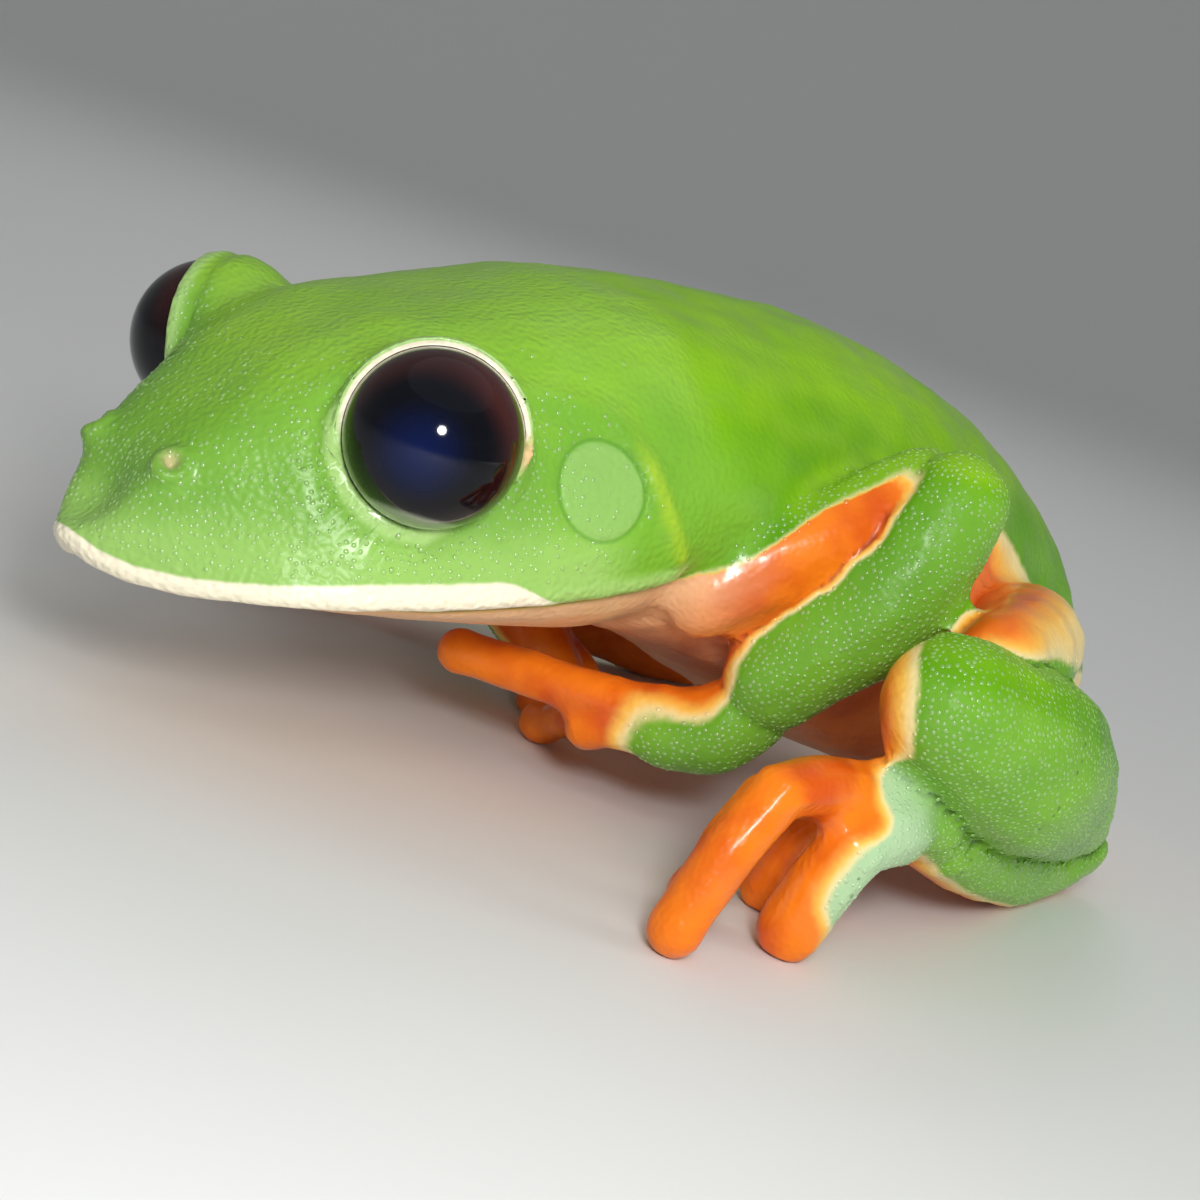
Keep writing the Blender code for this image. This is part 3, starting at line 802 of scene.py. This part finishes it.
    def _sculpt(self, hide: Hide, nodes: dict[str, bpy.types.Object]) -> None:
        """Shape lids, lips, ear discs, nostrils, folds and creases."""
        for turn in self.lid_passes:
            self._open_lids(hide)
            self._close_lids(hide)
            hide.relax(turn.whole)
            rim = self._rim_gap(hide.points)
            band = smooth_step(*turn.inner, rim) * smooth_step(*turn.outer, rim)
            hide.relax(turn.rounds, band, turn.shrink)
        self._shape_face(hide)
        self._shape_folds(hide)
        self._shape_creases(hide, nodes)
        self._make_uneven(hide)

    def _eye_parts(self, points: Array, side: Side) -> tuple[Array, Array, Array, Array]:
        """Return points as seen from an eye.

        Args:
            points: The points, in millimetres.
            side: The eye's side.

        Returns:
            The eye's middle, the way it looks, each point's offset from the
            middle, and the offset's length.
        """
        centre = self.head.place(*side.mirror((0.0, self.head.spread, 0.0)))
        way = side.mirror(self.rim_looks[side]) @ self.head.axes
        away = points - centre
        return centre, way / np.linalg.norm(way), away, np.linalg.norm(away, axis=1)

    def _rim_gap(self, points: Array) -> Array:
        """Return how far points are from the nearer lid's rim."""
        best = np.full(len(points), 9.0)
        for side in Side:
            _, way, away, _ = self._eye_parts(points, side)
            ahead = away @ way
            across = np.linalg.norm(away - ahead[:, None] * way, axis=1)
            best = np.minimum(best, np.hypot(across - self.rim_radius, ahead - self.rim_ahead))
        return best

    def _open_lids(self, hide: Hide) -> None:
        """Turn the skin ahead of each lid's rim back round the eye."""
        for side in Side:
            centre, way, away, reach = self._eye_parts(hide.points, side)
            out = away / reach[:, None]
            ahead = out @ way
            level = self.rim_ahead / reach
            near = smooth_step(1.9, 0.8, reach - self.eye_radius)
            turned = np.where(ahead > level, level + (ahead - level) * (1.0 - 0.92 * near), ahead)
            across = out - ahead[:, None] * way
            across /= np.maximum(np.linalg.norm(across, axis=1), 1e-6)[:, None]
            out = turned[:, None] * way + np.sqrt(1.0 - turned ** 2)[:, None] * across
            gap = reach - self.eye_radius
            band = smooth_step(-0.40, -0.05, turned) * smooth_step(1.2, 0.7, gap) * (gap > 0.0)
            reach = reach - 0.32 * gap * band
            hide.points = centre + out * reach[:, None]

    def _close_lids(self, hide: Hide) -> None:
        """Draw the sockets' inner walls in under the eyes."""
        normals = hide.normals()
        for side in Side:
            centre, way, away, reach = self._eye_parts(hide.points, side)
            out = away / reach[:, None]
            turned = np.einsum("ij,ij->i", normals, out)
            rim = smooth_step(-0.30, -0.06, out @ way)
            inner = smooth_step(0.35, -0.35, turned) * (reach < self.eye_radius + 1.2)
            target = self.eye_radius - self.tuck * (1.0 - rim) + 0.03 * rim
            moved = reach + (target - reach) * inner
            moved = np.where(reach < self.eye_radius + 1.2, np.maximum(moved, target), moved)
            hide.points = centre + out * moved[:, None]

    def _shape_face(self, hide: Hide) -> None:
        """Shape the mouth's line, lips, ear discs and nostrils."""
        local = self.head.local(hide.points)
        above = self._above_mouth(local)
        lip = self._on_lip(local).astype(float) * smooth_step(-11.8, -10.8, local[:, 0])
        amount = (self.mouth_groove.over(above) + self.lip_roll.over(above)) * lip
        for side in Side:
            ear = self._ear_gap(local, side)
            amount += self.ear_groove.over(ear) - self.ear_sunk * smooth_step(0.0, -0.4, ear)
            spot = self._nostril_spot(hide, side)
            near = np.linalg.norm(hide.points - spot, axis=1)
            amount += self.nostril_hole.over(near) + self.nostril_rim.over(near)
        rim = self._rim_gap(hide.points)
        lower = 0.35 + 0.65 * smooth_step(3.0, 0.5, local[:, 2])
        amount += self.lid_roll.over(rim) + self.lid_groove.over(rim) * lower
        snout = np.linalg.norm(local - np.array(self.snout_hollow), axis=1)
        hide.raise_by(amount + self.snout_dip.over(snout))

    def _nostril_spot(self, hide: Hide, side: Side) -> Array:
        """Return the nostril's opening on the skin."""
        way = side.mirror(self.nostril_look)
        way = way / np.linalg.norm(way) @ self.head.axes
        base = self.head.place(*side.mirror(self.nostril))
        start = base + way * 4.0
        hit, _, _, _ = hide.tree().ray_cast(Vector(start * MM), Vector(-way))
        return np.array(hit) / MM if hit else base + way

    def _shape_folds(self, hide: Hide) -> None:
        """Raise the fold over each ear down to the shoulder."""
        tree = hide.tree()
        amount = np.zeros(len(hide.points))
        for side in Side:
            path: list[Array] = []
            for forward, up in self.fold_line:
                start = Vector(self.head.place(forward, side.value * 20.0, up) * MM)
                way = Vector(self.head.axes[1] * -side.value)
                hit, _, _, _ = tree.ray_cast(start, way)
                if hit:
                    path.append(np.array(hit) / MM)
            away = distance_to_path(hide.points, np.array(path))
            amount += self.ear_fold.over(away)
        local = self.head.local(hide.points)
        self.fold = (amount / self.ear_fold.height) ** 3 * smooth_step(-8.6, -9.8, local[:, 0])
        hide.raise_by(amount)

    def _shape_creases(self, hide: Hide, nodes: dict[str, bpy.types.Object]) -> None:
        """Press the skin in where two parts of a limb fold together."""
        crease = np.zeros(len(hide.points))
        amount = np.zeros(len(hide.points))
        gaps: dict[str, Array] = {}
        for side in Side:
            for first, second, depth in self.creases:
                names = [word if word == "torso" else side.node(word) for word in (first, second)]
                for name in names:
                    if name not in gaps:
                        gaps[name] = self._gap_to(hide, nodes[name])
                one, other = (gaps[name] for name in names)
                near = smooth_step(1.5, 0.8, np.maximum(one, other))
                pressed = bell(one - other, self.crease_width) * near
                crease = np.maximum(crease, pressed * min(1.0, depth / 0.25))
                amount = np.maximum(amount, pressed * depth)
        # The crease mask also darkens the skin's colour there as painted shade.
        self.crease = crease
        hide.raise_by(-amount)

    def _make_uneven(self, hide: Hide) -> None:
        """Give limbs and trunk the slight lumps of living skin."""
        away = smooth_step(0.8, 2.5, self._rim_gap(hide.points))
        trunk = smooth_step(-11.0, -13.0, self.head.local(hide.points)[:, 0])
        lumps = np.zeros(len(hide.points))
        for height, pitch in self.lumps:
            lumps += height * np.array([noise.noise(Vector(point)) for point in hide.points * pitch])
        hide.raise_by(lumps * away * (0.35 + 0.65 * trunk))
        hide.points[:, 2] = np.maximum(hide.points[:, 2], 0.0)

    def _gap_to(self, hide: Hide, node: bpy.types.Object, reach: float = 1.6) -> Array:
        """Return how far the skin's points are from a node, 9 where it is out of reach."""
        data = node.data
        tree = BVHTree.FromPolygons([vert.co for vert in data.vertices],
                                    [tuple(face.vertices) for face in data.polygons])
        low, high = (np.array(corner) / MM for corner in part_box(node.name))
        near = np.all((hide.points > low - reach) & (hide.points < high + reach), axis=1)
        gaps = np.full(len(hide.points), 9.0)
        found = [tree.find_nearest(Vector(point)) for point in hide.points[near] * MM]
        gaps[near] = [hit[3] / MM for hit in found]
        return gaps

    def _owners(self, hide: Hide, nodes: dict[str, bpy.types.Object], flesh: Sequence[str]) -> Array:
        """Return the number of the flesh node nearest to each vertex."""
        points: list[Vector] = []
        faces: list[tuple[int, ...]] = []
        owner: list[int] = []
        for number, name in enumerate(flesh):
            data = nodes[name].data
            base = len(points)
            points += [vert.co.copy() for vert in data.vertices]
            faces += [tuple(base + k for k in face.vertices) for face in data.polygons]
            owner += [number] * len(data.polygons)
        tree = BVHTree.FromPolygons(points, faces)
        found = [tree.find_nearest(Vector(point))[2] for point in hide.points * MM]
        return np.array([owner[index] for index in found])

    def _mark(self, hide: Hide, nodes: dict[str, bpy.types.Object], flesh: Sequence[str]) -> None:
        """Write the numbers that the skin's material reads."""
        owners = self._owners(hide, nodes, flesh)
        normals = hide.soften(hide.normals(), self.normal_rounds)
        normals /= np.linalg.norm(normals, axis=1)[:, None]
        local = self.head.local(hide.points)
        low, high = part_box("torso")
        middle = (low[1] + high[1]) / (2.0 * MM)
        smooth = hide.soften(normals, self.thigh_rounds)
        smooth /= np.linalg.norm(smooth, axis=1)[:, None]
        green, margin, pale = self._trunk_green(hide, local, middle)
        fade = np.zeros(len(green))
        self.limb = np.zeros(len(green))
        for number, name in enumerate(flesh):
            part, _, word = name.rpartition("_")
            if part not in self.markings:
                continue
            side = Side[word.upper()]
            mine = owners == number
            marking = self.markings[part]
            edge = marking.edge((smooth if part == "thigh" else normals)[mine], side)
            points = hide.points[mine]
            if part == "upper_arm":
                edge = self._arm_green(points, middle)
                pale[mine] = 0.75 * smooth_step(-4.5, -9.0, points[:, 0])
            if part in ("hand", "foot"):
                edge, pallor = self._paw_green(points, edge, part, side, nodes[name])
                fade[mine] = pallor
            green[mine] = edge
            margin[mine] = marking.margin
            self.limb[mine] = 0.4 if part == "thigh" else 1.0
            pale[mine] = pale[mine] if part == "upper_arm" else 0.0
        green = np.clip(green, -1.8, 1.8)
        limbs = smooth_step(-9.5, -8.0, hide.points[:, 0])
        green = hide.soften(green, 5) * (1.0 - limbs) + hide.soften(green, 12) * limbs
        # Painted light: how much high, upward-facing skin is lightened, as if lit from above.
        light = smooth_step(8.0, 17.0, hide.points[:, 2]) * smooth_step(0.2, 0.9, normals[:, 2])
        hide.keep(green=green, margin=hide.soften(margin, 12), pale=hide.soften(pale, 14),
                  fade=hide.soften(fade, 8), light=light * 0.8, fold=self.fold, crease=self.crease,
                  grain=self._grain(local, normals, green))
        self._mark_face(hide, local)
        self._mark_beads(hide, local, normals, green, middle)

    def _mark_beads(self, hide: Hide, local: Array, normals: Array, green: Array, middle: float) -> None:
        """Write how closely the granules stand on each region of the skin.

        Args:
            hide: The skin's mesh.
            local: Its points in the head's frame.
            normals: Its softened normals.
            green: How far inside the green its points lie.
            middle: The trunk's middle across the floor, in millimetres.
        """
        clear = smooth_step(0.25, 0.55, self._rim_gap(hide.points)) * smooth_step(-0.3, 0.4, green)
        clear *= np.where(self._on_lip(local), smooth_step(1.3, 1.6, self._above_mouth(local)), 1.0)
        arms = smooth_step(0.2, 0.6, self.limb)
        cheek = smooth_step(-10.0, -3.0, local[:, 0]) * smooth_step(0.85, 0.45, normals[:, 2])
        clear *= hide.points[:, 2] > self.bare_foot
        beads = clear * np.clip(arms * 0.9 + cheek * 0.75, 0.0, 1.0)
        front = local[:, 0] > self.head_end
        hide.keep(beads=beads, beads_head=beads * front)
        ahead = hide.points[:, 0] < self.leg_start
        for side in Side:
            mine = beads * ~front * ((hide.points[:, 1] - middle) * side.value < 0.0)
            for limb, zone in (("arm", ahead), ("leg", ~ahead)):
                hide.keep(**{f"beads_{side.node(limb)}": mine * zone})

    def _trunk_green(self, hide: Hide, local: Array, middle: float) -> tuple[Array, Array, Array]:
        """Return green edge, margin and paleness of head, jaw and torso.

        Args:
            hide: The skin's mesh.
            local: Its points in the head's frame.
            middle: The trunk's middle across the floor, in millimetres.

        Returns:
            The three numbers for each point.
        """
        points = hide.points
        places, heights = zip(*self.flank_line)
        flank = (points[:, 2] - np.interp(points[:, 0], places, heights)) * 0.75
        above = self._above_mouth(local)
        in_head = smooth_step(-12.9, -11.9, local[:, 0])
        green = flank * (1.0 - in_head) + above * in_head
        rear = smooth_step(8.0, 14.0, points[:, 0])
        margin = 0.10 + 1.8 * rear
        belly = smooth_step(6.0, 2.5, np.abs(points[:, 1] - middle))
        throat = smooth_step(2.0, -8.0, points[:, 0])
        pale = np.clip(0.25 + 0.6 * belly + 0.75 * throat - 0.2 * rear, 0.0, 1.0)
        return green, margin, pale

    def _arm_green(self, points: Array, middle: float) -> Array:
        """Carry the flank's green edge over an upper arm."""
        out = np.abs(points[:, 1] - middle) - 9.5
        places, heights = zip(*self.flank_line)
        level = np.interp(points[:, 0] + 0.8 * out, places, heights)
        return (points[:, 2] - 0.2 * out - level) * 0.75

    def _paw_green(self, points: Array, edge: Array, part: str, side: Side,
                   node: bpy.types.Object) -> tuple[Array, Array]:
        """Keep a paw's green to its outer edge and leave the digits orange.

        Args:
            points: The paw's points.
            edge: The green edge that its facing gives.
            part: The word hand or foot.
            side: The paw's side.
            node: The paw's CAD node.

        Returns:
            The green edge, and how much the green fades to pale.
        """
        low, high = (np.array(corner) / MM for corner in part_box(node.name))
        out = points[:, 1] * -side.value
        outer = max(-side.value * low[1], -side.value * high[1])
        if part == "hand":
            return np.minimum(edge, (out - (outer - 4.4)) * 0.8), np.zeros(len(points))
        back = points[:, 0] - (high[0] - 11.2)
        edge = np.minimum(edge, np.minimum((out - (outer - 3.8)), back * 0.8))
        toe = smooth_step(high[0] - 6.8, high[0] - 7.8, points[:, 0])
        edge -= toe * 2.0 * smooth_step(5.2, 6.8, points[:, 2])
        edge -= toe * 1.6 * smooth_step(2.8, 1.8, points[:, 2])
        pallor = smooth_step(high[0] - 2.5, high[0] - 6.5, points[:, 0])
        return edge, pallor

    def _mark_face(self, hide: Hide, local: Array) -> None:
        """Write the numbers of lips, lids, ears and nostrils."""
        above = self._above_mouth(local)
        forward = local[:, 0]
        lip = self._on_lip(local)
        width = 1.05 + 0.35 * smooth_step(8.5, 0.0, forward)
        width *= 0.25 + 0.75 * smooth_step(-5.6, -2.6, forward)
        rear = smooth_step(-3.6, -5.0, forward) * smooth_step(-12.4, -11.4, forward)
        rear *= smooth_step(1.3, 0.7, above) * smooth_step(-0.2, 0.1, above)
        cheek = smooth_step(5.4, 1.4, above) * smooth_step(-10.5, -6.0, forward) * (above > 0)
        ahead, out, up = self.corner_spot
        corner, nostril = np.zeros(len(above)), np.zeros(len(above))
        ear = np.full(len(above), np.inf)
        for side in Side:
            spot = self.head.place(ahead, side.value * (self.head.spread + out), up)
            near = np.linalg.norm(hide.points - spot, axis=1)
            corner = np.maximum(corner, bell(near, self.corner_width))
            ear = np.minimum(ear, self._ear_gap(local, side))
            near = np.linalg.norm(hide.points - self._nostril_spot(hide, side), axis=1)
            nostril = np.maximum(nostril, bell(near, self.nostril_width))
        hide.keep(lip=np.where(lip, above / width, 9.0), mouth=np.where(lip, above, 9.0),
                  stripe=smooth_step(-6.2, -4.2, forward) * lip, lip_green=rear * lip,
                  cheek=cheek * lip * 0.9, rim_gap=self._rim_gap(hide.points),
                  rim_cream=smooth_step(-1.6, 0.2, local[:, 2] - 0.35 * forward),
                  eye_corner=corner, ear_gap=ear, nostril=nostril)

    def _grain(self, local: Array, normals: Array, green: Array) -> Array:
        """Return how granular the skin is, 0 to 1."""
        cheek = smooth_step(-9.0, 0.0, local[:, 0]) * smooth_step(0.8, 0.2, normals[:, 2])
        back = smooth_step(-12.0, -14.0, local[:, 0]) * smooth_step(0.2, 0.7, normals[:, 2])
        outer = smooth_step(-0.5, 0.8, green)
        return np.clip(0.25 + 0.45 * cheek + 0.45 * outer - 0.50 * back, 0.0, 1.0)


@dataclass
class Granules:
    """Small beads that stand on one region of the skin."""

    skin: bpy.types.Object
    region: str
    finish: bpy.types.Material
    spacing: float = 0.22
    radius: float = 0.115
    flatness: float = 0.42
    sunk: float = 0.018
    sizes: tuple[float, float] = (0.65, 1.15)
    sides: int = 8
    rings: int = 4
    seed: int = 11

    def build(self) -> bpy.types.Object:
        """Strew the beads over a copy of the skin.

        Returns:
            The finished piece.
        """
        granules = bpy.data.objects.new(f"granules_{self.region}", self.skin.data.copy())
        bpy.context.scene.collection.objects.link(granules)
        spread = granules.modifiers.new("spread", "NODES")
        spread.node_group = self._tree()
        bake(granules)
        dress(granules, self.finish)
        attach(granules, BODY)
        LOG.info("%s: %d faces", granules.name, len(granules.data.polygons))
        return granules

    def _tree(self) -> bpy.types.GeometryNodeTree:
        """Make the tree that sets one bead on each scattered point."""
        tree = bpy.data.node_groups.new("bead_spread", "GeometryNodeTree")
        for way in ("INPUT", "OUTPUT"):
            tree.interface.new_socket("Geometry", in_out=way, socket_type="NodeSocketGeometry")

        def node(kind: str, values: dict[object, object], **settings: object) -> bpy.types.Node:
            """Add one node.

            Args:
                kind: The node's type.
                values: A plain value, or the socket to link, for each named or numbered input.
                settings: The node's own settings, set before its inputs.

            Returns:
                The node.
            """
            made = tree.nodes.new(kind)
            for name, value in settings.items():
                setattr(made, name, value)
            for name, value in values.items():
                if isinstance(value, bpy.types.NodeSocket):
                    tree.links.new(value, made.inputs[name])
                else:
                    made.inputs[name].default_value = value
            return made

        spacing = self.spacing * MM
        given = node("NodeGroupInput", {})
        where = node("GeometryNodeInputNamedAttribute", {"Name": f"beads_{self.region}"}, data_type="FLOAT")
        points = node("GeometryNodeDistributePointsOnFaces", {
            "Mesh": given.outputs["Geometry"], "Distance Min": spacing, "Density Max": 2.0 / spacing ** 2,
            "Density Factor": where.outputs["Attribute"], "Seed": self.seed,
        }, distribute_method="POISSON").outputs
        bead = node("GeometryNodeMeshUVSphere", {"Radius": 1.0, "Segments": self.sides, "Rings": self.rings})
        # The bead mark gives beads their coat and a painted highlight in their colour.
        known = node("GeometryNodeStoreNamedAttribute", {
            "Geometry": bead.outputs["Mesh"], "Name": "bead", "Value": 1.0,
        }, data_type="FLOAT", domain="POINT")
        low, high = self.sizes
        uneven = node("FunctionNodeRandomValue", {2: low, 3: high, "Seed": self.seed}, data_type="FLOAT")
        wide = node("ShaderNodeMath", {0: uneven.outputs[1], 1: self.radius * MM}, operation="MULTIPLY")
        flat = node("ShaderNodeMath", {0: wide.outputs[0], 1: self.flatness}, operation="MULTIPLY")
        shape = node("ShaderNodeCombineXYZ", {0: wide.outputs[0], 1: wide.outputs[0], 2: flat.outputs[0]})
        lower = node("ShaderNodeVectorMath", {0: points["Normal"], "Scale": -self.sunk * MM},
                     operation="SCALE")
        seat = node("GeometryNodeSetPosition", {"Geometry": points["Points"], "Offset": lower.outputs[0]})
        place = node("GeometryNodeInstanceOnPoints", {
            "Points": seat.outputs["Geometry"], "Instance": known.outputs["Geometry"],
            "Rotation": points["Rotation"], "Scale": shape.outputs[0],
        })
        real = node("GeometryNodeRealizeInstances", {"Geometry": place.outputs["Instances"]})
        node("NodeGroupOutput", {"Geometry": real.outputs["Geometry"]})
        return tree


@dataclass
class FrogEye:
    """One eyeball, its surface turned so that its middle looks outward."""

    side: Side
    head: HeadFrame
    finish: bpy.types.Material
    look: tuple[float, float, float] = (0.70, 0.70, 0.06)
    segments: int = 96
    rings: int = 64
    lid_height: float = -2.75

    def build(self, node: bpy.types.Object) -> bpy.types.Object:
        """Make the eyeball over its CAD node.

        Args:
            node: The eye's CAD node.

        Returns:
            The finished eye.
        """
        centre = eye_middle(self.side)
        corners = np.array([vert.co for vert in node.data.vertices]) / MM
        radius = float(np.linalg.norm(corners - centre, axis=1).max())
        way = self.side.mirror(self.look) @ self.head.axes
        way /= np.linalg.norm(way)
        turn = Vector((0, 0, 1)).rotation_difference(Vector(way)).to_matrix().to_4x4()
        mesh = bmesh.new()
        place = Matrix.Translation(Vector(centre * MM)) @ turn
        bmesh.ops.create_uvsphere(mesh, u_segments=self.segments, v_segments=self.rings,
                                  radius=radius * MM, matrix=place)
        eye = add_object(f"eyeball_{self.side.word}", mesh)
        self._mark(Hide(eye), centre, way, radius)
        dress(eye, self.finish)
        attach(eye, BODY)
        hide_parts(self.side.node("eye"))
        LOG.info("eye %s: radius %.2f mm", self.side.word, radius)
        return eye

    def _mark(self, hide: Hide, centre: Array, way: Array, radius: float) -> None:
        """Write how far each point is turned from the middle, and the lid's edge."""
        out = (hide.points - centre) / radius
        local = self.head.local(hide.points)
        local[:, 1] -= self.side.value * self.head.spread
        back = smooth_step(0.5, -2.5, local[:, 0]) + 0.6 * smooth_step(0.0, 2.5, local[:, 2])
        below = local[:, 2] - 0.30 * local[:, 0]
        hide.keep(turn=np.arccos(np.clip(out @ way, -1.0, 1.0)), warm=np.clip(back, 0.0, 1.0),
                  lower_lid=smooth_step(self.lid_height, self.lid_height - 0.25, below))


@dataclass(frozen=True)
class Lamp:
    """A soft round lamp: its width in millimetres and power in watts.

    Only a mirrored lamp shows in glossy surfaces.
    """

    name: str
    width: float
    power: float
    mirrored: bool = False


@dataclass
class Studio:
    """A pale floor, soft lights and the camera."""

    focal: float = 75.0
    seen: tuple[float, float] = (5.0, 10000.0)
    sensor: float = 36.0
    roll: float = math.radians(18.9)
    camera_from_eye: tuple[float, float, float] = (-58.86, -71.88, 15.82)
    target_from_eye: tuple[float, float, float] = (9.31, -1.72, -4.92)
    floor_flat: float = 300.0
    floor_curve: float = 320.0
    floor_wall: float = 700.0
    flat_rings: int = 6
    curve_rings: int = 16
    floor_sides: int = 96
    flash_from_camera: tuple[float, float] = (17.0, 16.0)
    key_from_camera: tuple[float, float, float] = (-10.0, -40.0, 70.0)
    fill_place: tuple[float, float, float] = (150.0, -170.0, 70.0)
    rim_place: tuple[float, float, float] = (110.0, 130.0, 170.0)
    sky: Colour = (0.92, 0.95, 1.0)
    sky_strength: float = 0.40

    def build(self) -> None:
        """Make the floor, the lights, the world and the camera."""
        self._floor()
        self._world()
        eye = Vector(eye_middle(Side.LEFT))
        camera = eye + Vector(self.camera_from_eye)
        target = eye + Vector(self.target_from_eye)
        right, top = self._camera(camera, target)
        beside, over = self.flash_from_camera
        flash = camera + beside * right + over * top
        self._lamp(Lamp("flash", 19.0, 0.058, True), flash, eye)
        self._lamp(Lamp("key", 90.0, 0.085), camera + Vector(self.key_from_camera), target)
        self._lamp(Lamp("fill", 120.0, 0.130), Vector(self.fill_place), target)
        self._lamp(Lamp("rim", 120.0, 0.070), Vector(self.rim_place), target)
        bpy.context.scene.view_settings.view_transform = "Standard"

    def _floor(self) -> None:
        """Make the floor at the frog's level, turned up into a wall far off."""
        outline = [(self.floor_flat * k / self.flat_rings, 0.0) for k in range(1, self.flat_rings + 1)]
        for k in range(1, self.curve_rings + 1):
            turn = math.pi / 2.0 * k / self.curve_rings
            outline.append((self.floor_flat + self.floor_curve * math.sin(turn),
                            self.floor_curve * (1.0 - math.cos(turn))))
        outline.append((self.floor_flat + self.floor_curve, self.floor_wall))
        mesh = bmesh.new()
        middle = mesh.verts.new((0.0, 0.0, 0.0))
        turns = [2.0 * math.pi * k / self.floor_sides for k in range(self.floor_sides)]
        rows = []
        for reach, height in outline:
            rows.append([mesh.verts.new(Vector((reach * math.cos(a), reach * math.sin(a), height)) * MM)
                         for a in turns])
        for k in range(self.floor_sides):
            mesh.faces.new((middle, rows[0][k - 1], rows[0][k]))
            for low, high in zip(rows, rows[1:]):
                mesh.faces.new((low[k - 1], high[k - 1], high[k], low[k]))
        floor = add_object("floor", mesh)
        dress(floor, FloorFinish().make())

    def _world(self) -> None:
        """Light the scene evenly from all round."""
        world = bpy.data.worlds.new("studio")
        world.use_nodes = True
        background = world.node_tree.nodes["Background"]
        background.inputs["Color"].default_value = (*self.sky, 1.0)
        background.inputs["Strength"].default_value = self.sky_strength
        bpy.context.scene.world = world

    def _lamp(self, kind: Lamp, place: Vector, target: Vector) -> None:
        """Hang one lamp so that it faces the target.

        Args:
            kind: The lamp's size and power.
            place: Where it hangs, in millimetres.
            target: What it faces, in millimetres.
        """
        data = bpy.data.lights.new(kind.name, "AREA")
        data.shape = "DISK"
        data.size = kind.width * MM
        data.energy = kind.power
        lamp = bpy.data.objects.new(kind.name, data)
        lamp.visible_glossy = kind.mirrored
        lamp.location = place * MM
        lamp.rotation_mode = "QUATERNION"
        lamp.rotation_quaternion = (target - place).to_track_quat("-Z", "Y")
        bpy.context.scene.collection.objects.link(lamp)

    def _camera(self, place: Vector, target: Vector) -> tuple[Vector, Vector]:
        """Set the camera at the photograph's angle.

        Args:
            place: Where it stands, in millimetres.
            target: What it faces, in millimetres.

        Returns:
            Its own right and upward directions.
        """
        data = bpy.data.cameras.new("camera")
        data.lens, data.sensor_width = self.focal, self.sensor
        data.clip_start, data.clip_end = (reach * MM for reach in self.seen)
        camera = bpy.data.objects.new("camera", data)
        back = (place - target).normalized()
        across = Vector((0, 0, 1)).cross(back).normalized()
        above = back.cross(across)
        right = math.cos(self.roll) * across + math.sin(self.roll) * above
        top = back.cross(right)
        turn = Matrix((right, top, back)).transposed()
        camera.matrix_world = Matrix.Translation(place * MM) @ turn.to_4x4()
        bpy.context.scene.collection.objects.link(camera)
        bpy.context.scene.camera = camera
        return right, top


def corners(box: tuple[Vector, Vector]) -> list[list[float]]:
    """Return a box as plain lists of numbers."""
    return [list(corner) for corner in box]


def main() -> None:
    """Build the dressed frog and its studio."""
    logging.basicConfig(level=logging.INFO, format="%(name)s %(message)s", stream=sys.stdout)
    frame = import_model()
    head = HeadFrame.from_eyes()
    skin_finish = SkinFinish().make()
    skin = FrogSkin(head, skin_finish).build(frame["nodes"])
    regions = ["head"] + [side.node(limb) for side in Side for limb in ("arm", "leg")]
    for region in regions:
        Granules(skin, region, skin_finish).build()
    eye_finish = EyeFinish().make()
    for side in Side:
        FrogEye(side, head, eye_finish).build(frame["nodes"][side.node("eye")])
    Studio().build()


if __name__ == "__main__":
    main()
